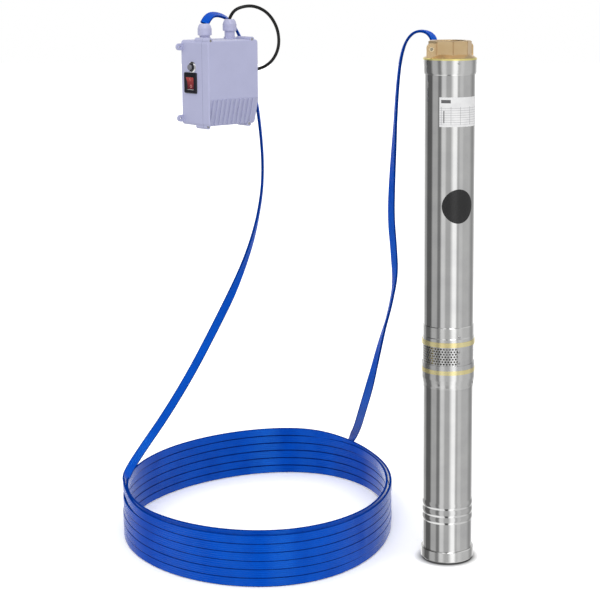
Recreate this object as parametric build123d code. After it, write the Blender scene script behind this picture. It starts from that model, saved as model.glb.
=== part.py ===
from build123d import *
import os
from math import atan2, cos, degrees, radians, sin, sqrt, tan

# Deep-well submersible pump with its control box and cables.
# Millimetres. Origin at the middle of the pump's base, +Z up along the shaft.

# Fits
GAP = 0.3
RUNNING = 0.05
TOUCH = 0.02

# Heights of the pump's pieces
CAP_TOP = 20.0
STATOR_BASE = 95.0
STATOR_LENGTH = 160.0
END_TURN = 27.0
END_ROOM = 18.0
BELL_DEPTH = 29.5
BELL_HEIGHT = 28.2
FLANGE_THICK = 7.8
HOOP_HEIGHT = 8.5
SCREEN_HEIGHT = 35.2
RING_THICK = 8.5
LOW_COLLAR_HEIGHT = 27.4
STACK_RISE = 23.3
STAGES = 8
STAGE_PITCH = 55.0
SPIDER_HEIGHT = 18.0
SPIGOT_LENGTH = 24.7
TOP_COLLAR_HEIGHT = 26.3
HEAD_EDGE_HEIGHT = 2.9
HEAD_SLOPE_HEIGHT = 9.0
OCTAGON_HEIGHT = 24.8

# Levels that the heights add up to, from the base up
STATOR_TOP = STATOR_BASE + STATOR_LENGTH
BELL_FOOT = STATOR_TOP + END_TURN + END_ROOM
MOTOR_TUBE_TOP = BELL_FOOT + BELL_DEPTH
BELL_TOP = MOTOR_TUBE_TOP + BELL_HEIGHT
FLANGE_TOP = BELL_TOP + FLANGE_THICK
HOOP_TOP = FLANGE_TOP + HOOP_HEIGHT
SCREEN_TOP = HOOP_TOP + SCREEN_HEIGHT
RING_TOP = SCREEN_TOP + RING_THICK
LOW_COLLAR_TOP = RING_TOP + LOW_COLLAR_HEIGHT
STAGE_BASE = RING_TOP + STACK_RISE
STACK_TOP = STAGE_BASE + STAGES * STAGE_PITCH
SPIGOT_BASE = STACK_TOP + SPIDER_HEIGHT + 5
HEAD_BASE = SPIGOT_BASE + SPIGOT_LENGTH
TOP_COLLAR_BASE = HEAD_BASE - TOP_COLLAR_HEIGHT
HEAD_EDGE = HEAD_BASE + HEAD_EDGE_HEIGHT
OCTAGON_BASE = HEAD_BASE + HEAD_SLOPE_HEIGHT
PUMP_TOP = OCTAGON_BASE + OCTAGON_HEIGHT

# Outer radii of the pump
TUBE_R = 46.0
BEAD_R = 47.25
CAP_R = 49.0
BELL_R = 49.0
FLANGE_R = 49.2
RING_R = 49.0
LOW_COLLAR_R = 47.1
TOP_COLLAR_R = 48.3
OCTAGON_R = 39.2
OCTAGON_TURN = 6.0

# Walls of tubes
MOTOR_WALL = 1.5
SHELL_WALL = 2.0
SCREEN_WALL = 0.8

# Rolled beads of the motor tube
BEAD_HEIGHT = 12.8
BEAD_LEVELS = (79.2, 92.6, 106.5)

# Shafts and coupling
MOTOR_SHAFT_R = 8.0
ROTOR_SEAT_R = 11.0
PUMP_SHAFT_R = 7.0
SHAFT_FOOT = 27.1
SHAFT_JOIN = FLANGE_TOP + 24.5
PUMP_SHAFT_TOP = STACK_TOP + SPIDER_HEIGHT
COUPLING_R = 14.0
COUPLING_BASE = SHAFT_JOIN - 16.0
COUPLING_TOP = SHAFT_JOIN + 17.0

# Motor inside
STATOR_BORE_R = 21.1
ROTOR_R = 20.6
SLOT_COUNT = 18
BUSH_R = 13.0
THRUST_DISC_TOP = 33.0
BRACKET_TOP = 58.0
DIAPHRAGM_SEAT = 12.0
SEAL_FLOOR = MOTOR_TUBE_TOP + 12.5
SEAL_SEAT_TOP = SEAL_FLOOR + 6.0
SEAL_RING_TOP = SEAL_FLOOR + 13.0
SLINGER_BASE = BELL_TOP + 1.8
SLINGER_TOP = BELL_TOP + 10.3
SEAL_R = 16.0
BOLT_CIRCLE_R = 38.1
STUD_R = 4.0
BELL_SCREW_R = 2.2
BELL_SCREW_Z = MOTOR_TUBE_TOP + 8.5
BELL_SCREW_AZIMUTH = -113.0

# Stages, with the centre and radius of the circle that each vane is part of
BOWL_WALL = 2.6
BOWL_FLOOR = 3.0
IMPELLER_CURVE = (20.0, 28.0)
GUIDE_CURVE = (24.0, 30.0)
EYE_R = 18.3
IMPELLER_R = 35.5
IMPELLER_VANES = 6
GUIDE_VANES = 7
VANE = 1.8

# Discharge head and valve
PORT_R = 28.33
PORT_DEPTH = 20.0
CHAMBER_R = 31.0
VALVE_SEAT_R = 21.0
VALVE_SEAT_THICK = 6.0
VALVE_LIFT = 8.0
VALVE_R = 25.0
VALVE_STEM_R = 4.0
GUIDE_BASE = SPIGOT_BASE + VALVE_SEAT_THICK + 12.0 + VALVE_LIFT
SPRING_R = 6.2
SPRING_WIRE_R = 0.7
SPRING_TURNS = 3

# Rope eyes of the head, and the groove of the collar below it
EYE_HOLE_R = 3.0
EYE_THICK = 8.0
EYE_OUT = 43.0
EYE_IN = 20.0
EYE_HOLE_X = -34.0
EYE_Y = -27.0
EYE_Z = PUMP_TOP - 14.5
GROOVE_LOW = HEAD_BASE - 12.6
GROOVE_HIGH = HEAD_BASE - 9.4
GROOVE_DEPTH = 1.8

# Strainer
PERF_PITCH = 5.4
PERF_SIZE = 2.9
PERF_ROWS = 7
PERF_COLUMNS = 9
PERF_ZONES = (-102.0, 13.0, 200.0)
LAP_AZIMUTH = -59.0
LAP_ANGLE = 24.0
LAP_SCREW_AZIMUTH = -68.0
SMALL_SCREW_R = 2.3
COLLAR_SCREWS = ((-67.0, RING_TOP + 10.0, LOW_COLLAR_R), (-73.0, HEAD_BASE - 5.0, TOP_COLLAR_R))

# Lead and its guard, at the back
GUARD_AZIMUTH = 125.0
LEAD_WIDTH = 16.5
LEAD_THICK = 5.0
LEAD_R = 46.6
LEAD_FOOT = BELL_TOP - 5.7
LEAD_TOP = HEAD_BASE + 7.3
LEAD_SEAT_R = 40.0
LEAD_SEAT_Z = MOTOR_TUBE_TOP + 8.5
GUARD_WALL = 0.8
GUARD_TOP = HEAD_BASE - 2.7
GUARD_TABS = ((HEAD_BASE - 13.7, TOP_COLLAR_R), (RING_TOP + 13.3, LOW_COLLAR_R))
TAB_HALF = 6.0

# Rating plate and sticker
PLATE_HIGH = HEAD_BASE - 64.9
PLATE_LOW = PLATE_HIGH - 52.6
PLATE_FROM = -115.6
PLATE_TO = -8.0
STICKER_Z = HEAD_BASE - 260.7
STICKER_AZIMUTH = -70.4
STICKER_R = 31.0
LABEL_THICK = 0.3

# Control box: place of its near lower corner, and its yaw
BOX_X = -444.5
BOX_Y = 100.0
BOX_Z = 796.0
BOX_YAW = 43.0
BOX_W = 118.0
BOX_D = 84.0
BOX_H = 160.0
BOX_WALL = 2.5
BOX_CORNER = 6.0
COVER_DEPTH = 20.0
SLOPE_TOP = 51.0
SLOPE_IN = 14.0
RIB_MARGIN = 9.9
RIB_PITCH = 10.4
RIB_COUNT = int((BOX_W - 2 * RIB_MARGIN) / RIB_PITCH) + 1
RIB_WIDTH = 4.6
RIB_PROUD = 1.6
BOSS_R = 5.0
BOSS_LENGTH = 44.0
BOSS_SET_BACK = SLOPE_IN - 2.0
BOSS_PROUD = 0.5
BOSS_LOW_U = 6.5
BOSS_HIGH_U = BOX_W - 14.0
SCREW_R = 1.9
LUG_R = 6.5
LUG_REACH = 7.0
LUG_THICK = 5.0
LUG_HOLE_R = 2.3
LUG_LOW = 12.0
LUG_HIGH = BOX_H - 13.0

# Glands on the box's top
GLAND_W = 42.0
GLAND_U = (24.0, 83.0)
GLAND_RISE = (31.0, 38.0)
GLAND_NUT_R = 12.8
GLAND_NUT_HEIGHT = 22.0
GLAND_NECK_R = 9.8
GLAND_HOLE_R = 6.0

# Switch and breaker on the box's left side
SWITCH_W = 55.0
SWITCH_Z = 80.2
SWITCH_FRAME = (38.0, 39.0)
SWITCH_PROUD = 3.0
SWITCH_WINDOW = (23.0, 26.0)
SWITCH_BODY_DEPTH = 24.0
ROCKER_ANGLE = 18.0
ROCKER_PIVOT = 3.0
ROCKER_PIN_R = 1.6
BREAKER_W = 49.5
BREAKER_Z = 110.0
BREAKER_NUT_R = 10.0
BUTTON_R = 5.2
BUTTON_PROUD = 9.0
BUTTON_INSIDE = 8.0
BUTTON_TRAVEL = 3.0

# Parts inside the box
CAPACITOR_R = 20.0
CAPACITOR_LENGTH = 76.0
CAPACITOR_U = BOX_W - 36.0
CAPACITOR_W = BOX_D - BOX_WALL - CAPACITOR_R - 2.0
CAPACITOR_Z = 22.0
TERMINAL_LENGTH = 62.0
TERMINAL_DEPTH = 14.0
TERMINAL_HEIGHT = 16.0
TERMINAL_U = BOX_W - BOX_WALL - 9.5 - TERMINAL_LENGTH
TERMINAL_Z = BOX_H - 42.0
TERMINAL_WAYS = 6

# Coil of flat cable on the floor
COIL_X = -368.0
COIL_Y = 164.0
COIL_RX = 263.5
COIL_RY = 328.0
COIL_EGG = 45.0
COIL_WALL = 16.0
COIL_HEIGHT = 100.0
CABLE_TUBE_R = 5.0

# Mains lead
MAINS_R = 3.7
MAINS_COIL = (59.0, 84.3, 62.0)
MAINS_COIL_R = 47.0
MAINS_COIL_IN = 36.0
MAINS_COIL_DEPTH = 22.2
PLUG_R = 18.5
PLUG_U = 106.0
PLUG_W = 103.3
PLUG_BODY = 44.0
PIN_R = 2.4
PIN_LENGTH = 19.0
PIN_SPACING = 19.0

# Route of the flat cable from the pump's head to its coil
PUMP_SIDE = [
    (-28.2, 40.2, 936.2), (-28.6, 40.5, 956), (-43.6, 49.6, 973), (-64.9, 62.6, 973), (-80, 72, 957), (-88, 77, 929),
    (-93, 86, 888), (-97, 99, 838),
    (-101, 118, 765), (-104, 142, 690), (-105, 167, 615), (-99, 193, 545), (-97, 216, 485), (-107, 243, 420),
    (-127, 280, 340), (-148, 325, 245), (-168, 376, 168), (-182, 421, 120), (-197, 465, 86), (-207, 493, 52),
    (-196, 511, 25), (-170, 518, 9), (-138, 500, 9), (-119, 446, 9), (-117, 382, 9), (-127.5, 315, 9),
]

# Route from the coil up to the first gland
RISER = [
    (-621, 100, 92), (-628, 142, 94), (-624, 180, 109), (-600, 214, 146), (-562, 240, 200), (-511, 263, 281),
    (-463, 278, 370), (-419, 284, 460), (-385, 281, 552), (-363, 274, 640), (-358, 268, 704), (-361, 262, 765),
    (-367, 256, 824), (-379, 252, 888), (-391, 248, 936), (-402, 236, 972), (-418, 214, 997),
    (-437, 184, 1005), (-450, 161, 1001), (-455.6, 147.1, 987),
]

# Route of the mains lead from the second gland to its put-away coil
MAINS = [
    (-412.4, 187.3, 994), (-412, 187.6, 1010.5), (-400, 191.5, 1023), (-376, 201, 1023), (-347, 218, 1006),
    (-326, 240, 974), (-323, 266, 938), (-338, 286, 908), (-363, 297, 892), (-395, 290, 890),
    (-424, 262, 897), (-446, 238, 899), (-462, 222, 899),
]


def turned(shape, angle):
    return Rot(0, 0, angle) * shape


def rod(radius, low, high):
    return Pos(0, 0, low) * extrude(Circle(radius), high - low)


def ring(outer, inner, low, high):
    return Pos(0, 0, low) * extrude(Circle(outer) - Circle(inner), high - low)


def lathe(*points):
    return revolve(Plane.XZ * make_face(Polyline(*points, close=True)), axis=Axis.Z)


def block(x0, x1, y0, y1, z0, z1):
    centre = Pos((x0 + x1) / 2, (y0 + y1) / 2, (z0 + z1) / 2)
    return centre * Box(x1 - x0, y1 - y0, z1 - z0)


def round_copies(shape, count, first=0.0):
    return [turned(shape, first + 360 * i / count) for i in range(count)]


def wedge(radius, low, high, start, end):
    # A pie piece between two azimuths, at most half a turn apart
    middle = (start + end) / 2
    reach = radius * 2
    corners = [(reach * cos(radians(a)), reach * sin(radians(a))) for a in (start, middle, end)]
    face = make_face(Polyline((0, 0), *corners, close=True))
    return Pos(0, 0, low) * extrude(face, high - low)


def sheet_sector(inner, thick, low, high, start, end):
    band = ring(inner + thick, inner, low, high)
    return band & wedge(inner + thick, low, high, start, end)


def lead_slot(low, high, floor=LEAD_R - 0.4):
    # The straight notch that the flat lead runs through
    half = LEAD_WIDTH / 2 + 0.4
    return turned(block(floor, 70, -half, half, low, high), GUARD_AZIMUTH)


def route_tube(points, radius, name):
    # Straight runs joined by the largest tangent arcs that the runs allow
    corners = [Vector(*p) for p in points]
    radii = []
    for before, here, after in zip(corners, corners[1:], corners[2:]):
        shorter = min((here - before).length, (after - here).length)
        half_turn = radians((here - before).get_angle(after - here)) / 2
        radii.append(0.45 * shorter / tan(half_turn))
    line = FilletPolyline(*corners, radius=radii)
    start = Plane(origin=corners[0], z_dir=corners[1] - corners[0])
    tube = sweep(start * Circle(radius), path=line)
    print(name, "length", round(line.length), "volume share",
          round(tube.volume / (3.14159265 * radius ** 2 * line.length), 4),
          "least radius", round(min(radii), 1))
    print(name, "radii", [round(r) for r in radii])
    return tube


# Motor

def end_cap():
    outside = lathe((0, 0), (CAP_R - 1.5, 0), (CAP_R, 1.5), (CAP_R, CAP_TOP - 1), (CAP_R - 1, CAP_TOP),
                    (41, CAP_TOP), (41, DIAPHRAGM_SEAT), (34, DIAPHRAGM_SEAT), (34, 6), (0, 6))
    vents = [Pos(20 * cos(radians(a)), 20 * sin(radians(a)), 0) * rod(2.5, 0, 6) for a in (30, 150, 270)]
    return outside - vents


def diaphragm():
    # A moulded cup whose rim is held between the cap and the bracket
    seat = DIAPHRAGM_SEAT
    return lathe((0, seat - 3), (20, seat - 3), (26, seat + 0.5), (34, seat + TOUCH), (41, seat + TOUCH),
                 (41, seat + 4), (33, seat + 4), (26, seat + 2.5), (19, seat - 1), (0, seat - 1))


def lower_bracket():
    low = DIAPHRAGM_SEAT + 4
    body = lathe((5, low), (40.8, low), (40.8, CAP_TOP), (TUBE_R - MOTOR_WALL - 0.1, CAP_TOP),
                 (TUBE_R - MOTOR_WALL - 0.1, BRACKET_TOP), (40, BRACKET_TOP), (38, 30), (20, 30),
                 (20, BRACKET_TOP), (BUSH_R, BRACKET_TOP), (BUSH_R, low + 6), (5, low + 6))
    ribs = round_copies(block(19.5, 39.5, -2, 2, 30, 48), 6)
    return body + ribs


def thrust_pads():
    low = DIAPHRAGM_SEAT + 10
    base = ring(BUSH_R - TOUCH, 5.5, low, low + 2)
    pad = sheet_sector(5.5, BUSH_R - TOUCH - 5.5, low + 2, SHAFT_FOOT - RUNNING, -24, 24)
    return base + round_copies(pad, 6)


def thrust_disc():
    return ring(BUSH_R - 0.4, 5.02, SHAFT_FOOT, THRUST_DISC_TOP)


def motor_bushes():
    levels = ((THRUST_DISC_TOP + 0.4, BRACKET_TOP), (BELL_FOOT + 6, SEAL_FLOOR - 4))
    return [ring(BUSH_R - TOUCH, MOTOR_SHAFT_R + RUNNING, low, high) for low, high in levels]


def motor_shaft():
    low, high = STATOR_BASE - 11, STATOR_TOP + 11
    profile = [(0, SHAFT_FOOT), (5, SHAFT_FOOT), (5, THRUST_DISC_TOP), (MOTOR_SHAFT_R, THRUST_DISC_TOP),
               (MOTOR_SHAFT_R, low), (ROTOR_SEAT_R, low), (ROTOR_SEAT_R, high), (MOTOR_SHAFT_R, high),
               (MOTOR_SHAFT_R, SHAFT_JOIN - 1.5), (MOTOR_SHAFT_R - 1.5, SHAFT_JOIN), (0, SHAFT_JOIN)]
    spline = block(MOTOR_SHAFT_R - 1.2, MOTOR_SHAFT_R + 1, -0.9, 0.9, COUPLING_BASE - 2, SHAFT_JOIN)
    return lathe(*profile) - round_copies(spline, 8)


def rotor_core():
    bar = Pos(ROTOR_R - 2.6, 0, 0) * rod(1.5, STATOR_BASE, STATOR_TOP)
    return ring(ROTOR_R, ROTOR_SEAT_R, STATOR_BASE, STATOR_TOP) - round_copies(bar, 14)


def rotor_cage():
    # Cast bars with their end rings and small fan blades
    bar = Pos(ROTOR_R - 2.6, 0, 0) * rod(1.48, STATOR_BASE, STATOR_TOP)
    low = ring(ROTOR_R - 0.4, ROTOR_SEAT_R + 0.4, STATOR_BASE - 7, STATOR_BASE)
    high = ring(ROTOR_R - 0.4, ROTOR_SEAT_R + 0.4, STATOR_TOP, STATOR_TOP + 7)
    blade = block(ROTOR_R - 6, ROTOR_R - 1, -1, 1, STATOR_TOP + 7, STATOR_TOP + 12)
    return low + high + round_copies(bar, 14) + round_copies(blade, 7)


def stator_core():
    outer = TUBE_R - MOTOR_WALL - TOUCH
    slot = block(STATOR_BORE_R + 1.8, 36, -2, 2, STATOR_BASE, STATOR_TOP)
    mouth = block(STATOR_BORE_R - 1, STATOR_BORE_R + 2, -0.9, 0.9, STATOR_BASE, STATOR_TOP)
    return ring(outer, STATOR_BORE_R, STATOR_BASE, STATOR_TOP) - round_copies(slot + mouth, SLOT_COUNT)


def windings():
    # Slot bars joined by the rounded end turns
    outer, inner = 41.0, 26.0
    bar = block(STATOR_BORE_R + 4, 35.5, -1.7, 1.7, STATOR_BASE - 2, STATOR_TOP + 2)
    section = [(inner, 0), (inner, -END_TURN + 5), (inner + 4, -END_TURN), (outer - 4, -END_TURN),
               (outer, -END_TURN + 5), (outer, -3), (outer - 2, 0)]
    low = lathe(*[(r, STATOR_BASE - 2 + z) for r, z in section])
    high = lathe(*[(r, STATOR_TOP + 2 - z) for r, z in section])
    return low + high + round_copies(bar, SLOT_COUNT)


def motor_tube():
    inner = TUBE_R - MOTOR_WALL
    body = ring(TUBE_R, inner, CAP_TOP, MOTOR_TUBE_TOP)
    for level in BEAD_LEVELS:
        low, high = level - BEAD_HEIGHT / 2, level + BEAD_HEIGHT / 2
        back = Polyline((TUBE_R, high), (TUBE_R - 0.5, high), (TUBE_R - 0.5, low), (TUBE_R, low))
        crown = ThreePointArc((TUBE_R, low), (BEAD_R, level), (TUBE_R, high))
        body += revolve(Plane.XZ * make_face(back + crown), axis=Axis.Z)
    return body


def motor_top_bell():
    inner = TUBE_R - MOTOR_WALL - 0.1
    lip = TUBE_R + 0.8
    body = lathe((BUSH_R, BELL_FOOT), (inner, BELL_FOOT), (inner, MOTOR_TUBE_TOP), (lip, MOTOR_TUBE_TOP),
                 (lip, MOTOR_TUBE_TOP + 3), (TUBE_R + 1.8, MOTOR_TUBE_TOP + 9), (BELL_R, MOTOR_TUBE_TOP + 17),
                 (BELL_R, BELL_TOP), (SEAL_R, BELL_TOP), (SEAL_R, SEAL_FLOOR), (BUSH_R, SEAL_FLOOR))
    stud = Pos(BOLT_CIRCLE_R, 0, 0) * rod(STUD_R, SEAL_FLOOR, BELL_TOP)
    hollow = sheet_sector(BUSH_R + 6, 18, BELL_FOOT, BELL_FOOT + 22, -38, 38)
    half = LEAD_WIDTH / 2 + 0.5
    pocket = turned(block(LEAD_SEAT_R, 60, -half, half, LEAD_SEAT_Z, BELL_TOP), GUARD_AZIMUTH)
    sockets = skirt_pin(BELL_SCREW_R + 0.1, BELL_R - 4, BELL_R + 1)
    return body - round_copies(stud, 4) - round_copies(hollow, 4, 45) - sockets - pocket


def skirt_pin(radius, low, high):
    # A radial cylinder through the bell's skirt, at the level of its screws
    pin = Cylinder(radius, high - low, align=(Align.CENTER, Align.CENTER, Align.MIN))
    return round_copies(Pos(low, 0, BELL_SCREW_Z) * Rot(0, 90, 0) * pin, 4, BELL_SCREW_AZIMUTH)


def bell_screws():
    # Low cheese-head screws in pockets round the bell's skirt
    return skirt_pin(BELL_SCREW_R, BELL_R - 4, BELL_R - 0.4)


def seal_seat():
    return ring(SEAL_R - TOUCH, MOTOR_SHAFT_R + 1.2, SEAL_FLOOR, SEAL_SEAT_TOP)


def seal_ring():
    return ring(SEAL_R - 2.4, MOTOR_SHAFT_R + TOUCH, SEAL_SEAT_TOP + RUNNING, SEAL_RING_TOP)


def sand_slinger():
    low, high = SLINGER_BASE, SLINGER_TOP
    return lathe((MOTOR_SHAFT_R + TOUCH, low), (18, low), (18.8, low + 2), (13, low + 4), (12, high),
                 (MOTOR_SHAFT_R + TOUCH, high))


def flange_studs():
    stud = Pos(BOLT_CIRCLE_R, 0, 0) * rod(STUD_R - TOUCH, SEAL_FLOOR, FLANGE_TOP + 9)
    return round_copies(stud, 4)


def flange_nuts():
    nut = extrude(RegularPolygon(6.5, 6, major_radius=False) - Circle(STUD_R), 6.5)
    return round_copies(Pos(BOLT_CIRCLE_R, 0, FLANGE_TOP) * nut, 4)


# Suction end

def suction_bracket():
    bore = 22.0
    flange = ring(FLANGE_R, bore, BELL_TOP, FLANGE_TOP)
    flange = flange - round_copies(Pos(BOLT_CIRCLE_R, 0, 0) * rod(STUD_R + GAP, BELL_TOP, FLANGE_TOP), 4)
    rib = block(31, 44, -4, 4, FLANGE_TOP, SCREEN_TOP)
    top = ring(RING_R, EYE_R + 5, SCREEN_TOP, RING_TOP)
    spigot = ring(TUBE_R - SHELL_WALL - 0.1, 39, RING_TOP, STAGE_BASE)
    notches = lead_slot(BELL_TOP, FLANGE_TOP) + lead_slot(SCREEN_TOP, RING_TOP)
    return flange + round_copies(rib, 4, 45) + top + spigot - notches


def strainer_screen():
    hoop = ring(RING_R - 0.2, TUBE_R, FLANGE_TOP, HOOP_TOP)
    outer = TUBE_R + SCREEN_WALL
    wall = ring(outer, TUBE_R, HOOP_TOP, SCREEN_TOP)
    lap = sheet_sector(outer, SCREEN_WALL, HOOP_TOP, SCREEN_TOP, LAP_AZIMUTH - LAP_ANGLE / 2,
                       LAP_AZIMUTH + LAP_ANGLE / 2)
    step = degrees(PERF_PITCH / TUBE_R)
    rise = (SCREEN_TOP - HOOP_TOP) / (PERF_ROWS + 0.6)
    hole = Rot(45, 0, 0) * Box(6, PERF_SIZE, PERF_SIZE)
    holes = []
    for zone in PERF_ZONES:
        for row in range(PERF_ROWS):
            level = HOOP_TOP + rise * (row + 0.8)
            for column in range(PERF_COLUMNS):
                angle = zone + step * (column - (PERF_COLUMNS - 1) / 2 + 0.5 * (row % 2))
                holes.append(turned(Pos(TUBE_R, 0, level) * hole, angle))
    return hoop + (wall - holes) + lap - lead_slot(FLANGE_TOP, SCREEN_TOP, TUBE_R - 1)


def screw_head(azimuth, level, radius):
    # A low round head that stands on a cylinder of that radius
    head = Cylinder(SMALL_SCREW_R, 1.2, align=(Align.CENTER, Align.CENTER, Align.MIN))
    return turned(Pos(radius, 0, level) * Rot(0, 90, 0) * head, azimuth)


def strainer_screws():
    radius = TUBE_R + 2 * SCREEN_WALL
    places = [(LAP_SCREW_AZIMUTH, z, radius) for z in (HOOP_TOP + 5.5, SCREEN_TOP - 9)]
    return [screw_head(*place) for place in places + list(COLLAR_SCREWS)]


def shaft_coupling():
    body = ring(COUPLING_R, MOTOR_SHAFT_R + TOUCH, COUPLING_BASE, SHAFT_JOIN + 0.5)
    upper = ring(COUPLING_R, PUMP_SHAFT_R + TOUCH, SHAFT_JOIN + 0.5, COUPLING_TOP)
    relief = ring(COUPLING_R + 1, COUPLING_R - 1.2, SHAFT_JOIN - 4, SHAFT_JOIN + 5)
    return body + upper - relief


def lower_collar():
    body = lathe((TUBE_R - SHELL_WALL, RING_TOP), (LOW_COLLAR_R + 0.6, RING_TOP), (LOW_COLLAR_R + 0.6, RING_TOP + 6),
                 (LOW_COLLAR_R, RING_TOP + 7), (LOW_COLLAR_R, LOW_COLLAR_TOP - 1), (TUBE_R + 0.3, LOW_COLLAR_TOP),
                 (TUBE_R, LOW_COLLAR_TOP), (TUBE_R, RING_TOP + 5), (TUBE_R - SHELL_WALL, RING_TOP + 5))
    return body - lead_slot(RING_TOP, LOW_COLLAR_TOP, TUBE_R - 0.5)


# Pump end

def pump_shell():
    return ring(TUBE_R, TUBE_R - SHELL_WALL, RING_TOP + 5, HEAD_BASE - 5)


def top_collar():
    groove = TOP_COLLAR_R - GROOVE_DEPTH
    body = lathe((TUBE_R, TOP_COLLAR_BASE), (TUBE_R + 0.9, TOP_COLLAR_BASE), (TOP_COLLAR_R, TOP_COLLAR_BASE + 4),
                 (TOP_COLLAR_R, GROOVE_LOW), (groove, GROOVE_LOW), (groove, GROOVE_HIGH),
                 (TOP_COLLAR_R, GROOVE_HIGH), (TOP_COLLAR_R, HEAD_BASE), (TUBE_R - SHELL_WALL, HEAD_BASE),
                 (TUBE_R - SHELL_WALL, HEAD_BASE - 5), (TUBE_R, HEAD_BASE - 5))
    return body - lead_slot(TOP_COLLAR_BASE, HEAD_BASE, TUBE_R - 0.5)


def curled_vane(curve, low, high, inner, outer, side=1):
    # Half of an off-centre ring, cut where it leaves the hub and where it meets the rim
    centre, radius = curve
    hoop = Pos(centre, 0, 0) * ring(radius + VANE / 2, radius - VANE / 2, low, high)
    half = block(-outer, outer, min(0, side * outer), max(0, side * outer), low, high)
    return hoop & half & ring(outer, inner, low, high)


def bowl():
    outer = TUBE_R - SHELL_WALL - 0.15
    inner = outer - BOWL_WALL
    plate = STAGE_PITCH * 0.52
    wall = ring(outer, inner, 0, STAGE_PITCH)
    floor = ring(inner + 0.5, EYE_R, 0, BOWL_FLOOR)
    guide = ring(IMPELLER_R, PUMP_SHAFT_R + GAP, plate, plate + 2)
    hub = ring(12, PUMP_SHAFT_R + GAP, plate, STAGE_PITCH - 4)
    vane = curled_vane(GUIDE_CURVE, plate + 1, STAGE_PITCH - 5, 11, inner + 0.5, -1)
    return wall + floor + guide + hub + round_copies(vane, GUIDE_VANES)


def impeller():
    low, high = BOWL_FLOOR + 1.5, STAGE_PITCH * 0.52 - 2.5
    neck = ring(EYE_R - GAP, EYE_R - 2.2, 0.6, low + 2)
    bottom = lathe((EYE_R - 2.2, low), (IMPELLER_R, low + 3.5), (IMPELLER_R, low + 5.5), (EYE_R - 2.2, low + 2))
    top = ring(IMPELLER_R, PUMP_SHAFT_R + TOUCH, high - 2, high)
    hub = lathe((PUMP_SHAFT_R + TOUCH, low), (10, low), (11.5, high), (PUMP_SHAFT_R + TOUCH, high))
    below = lathe((0, -1), (IMPELLER_R + 1, -1), (IMPELLER_R + 1, low + 4), (EYE_R - 3, low + 0.4), (0, low + 0.4))
    vane = curled_vane(IMPELLER_CURVE, low + 1, high - 1, 9.5, IMPELLER_R) - below
    return neck + bottom + top + hub + round_copies(vane, IMPELLER_VANES)


def stacked(stage):
    return [Pos(0, 0, STAGE_BASE + STAGE_PITCH * i) * stage for i in range(STAGES)]


def bowls():
    return stacked(bowl())


def impellers():
    return stacked(impeller())


def bearing_spider():
    outer = TUBE_R - SHELL_WALL - 0.15
    rim = ring(outer, outer - 4, STACK_TOP, STACK_TOP + SPIDER_HEIGHT)
    hub = ring(13, 10, STACK_TOP + 1, STACK_TOP + SPIDER_HEIGHT - 2)
    arm = block(12, outer - 3, -2, 2, STACK_TOP + 2, STACK_TOP + SPIDER_HEIGHT - 4)
    return rim + hub + round_copies(arm, 3, 30)


def top_bush():
    return ring(10 - TOUCH, PUMP_SHAFT_R + RUNNING, STACK_TOP + 1, STACK_TOP + SPIDER_HEIGHT - 2)


def pump_shaft():
    body = rod(PUMP_SHAFT_R, SHAFT_JOIN + 1, PUMP_SHAFT_TOP)
    return chamfer(body.edges().filter_by(GeomType.CIRCLE), 1)


def shaft_nut():
    nut = extrude(RegularPolygon(9, 6, major_radius=False) - Circle(PUMP_SHAFT_R + TOUCH), 5)
    return Pos(0, 0, COUPLING_TOP + 3) * nut


def rope_eye():
    # Lug beside the octagon, standing on the flange
    low, high = HEAD_EDGE - 1, PUMP_TOP - 4
    plate = block(-EYE_OUT, -EYE_IN, EYE_Y - EYE_THICK / 2, EYE_Y + EYE_THICK / 2, low, high)
    corner = plate.edges().filter_by(Axis.Y).sort_by(Axis.X)[:2].sort_by(Axis.Z)[-1]
    plate = fillet(corner, 8)
    hole = Pos(EYE_HOLE_X, EYE_Y, EYE_Z) * Rot(90, 0, 0) * Cylinder(EYE_HOLE_R, EYE_THICK + 2)
    return plate, hole


def discharge_head():
    spigot_r = TUBE_R - SHELL_WALL - 0.1
    foot = lathe((CHAMBER_R, SPIGOT_BASE), (spigot_r, SPIGOT_BASE), (spigot_r, HEAD_BASE), (TOP_COLLAR_R, HEAD_BASE),
                 (TOP_COLLAR_R, HEAD_EDGE), (TOP_COLLAR_R - 1, HEAD_EDGE + 0.6), (OCTAGON_R + 0.6, OCTAGON_BASE - 1),
                 (OCTAGON_R - 3, OCTAGON_BASE + 1), (CHAMBER_R, OCTAGON_BASE + 1))
    prism = extrude(RegularPolygon(OCTAGON_R, 8, rotation=OCTAGON_TURN), PUMP_TOP - OCTAGON_BASE + 3)
    prism = Pos(0, 0, OCTAGON_BASE - 3) * prism
    turned_top = lathe((0, 0), (OCTAGON_R + 5, 0), (OCTAGON_R + 5, PUMP_TOP - 4), (OCTAGON_R - 3, PUMP_TOP),
                       (0, PUMP_TOP))
    body = foot + (prism & turned_top)
    plate, hole = rope_eye()
    body = body + [plate, turned(plate, 180)]
    port = lathe((0, SPIGOT_BASE - 1), (CHAMBER_R, SPIGOT_BASE - 1), (CHAMBER_R, PUMP_TOP - PORT_DEPTH - 4),
                 (PORT_R, PUMP_TOP - PORT_DEPTH), (PORT_R, PUMP_TOP - 1.5), (PORT_R + 1.5, PUMP_TOP),
                 (PORT_R + 1.5, PUMP_TOP + 1), (0, PUMP_TOP + 1))
    return body - port - [hole, turned(hole, 180)] - lead_slot(HEAD_BASE - 1, PUMP_TOP + 1)


def valve_seat():
    high = SPIGOT_BASE + VALVE_SEAT_THICK
    return lathe((VALVE_SEAT_R, SPIGOT_BASE), (CHAMBER_R - TOUCH, SPIGOT_BASE), (CHAMBER_R - TOUCH, high),
                 (VALVE_SEAT_R + 4, high), (VALVE_SEAT_R, high - 4))


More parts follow.
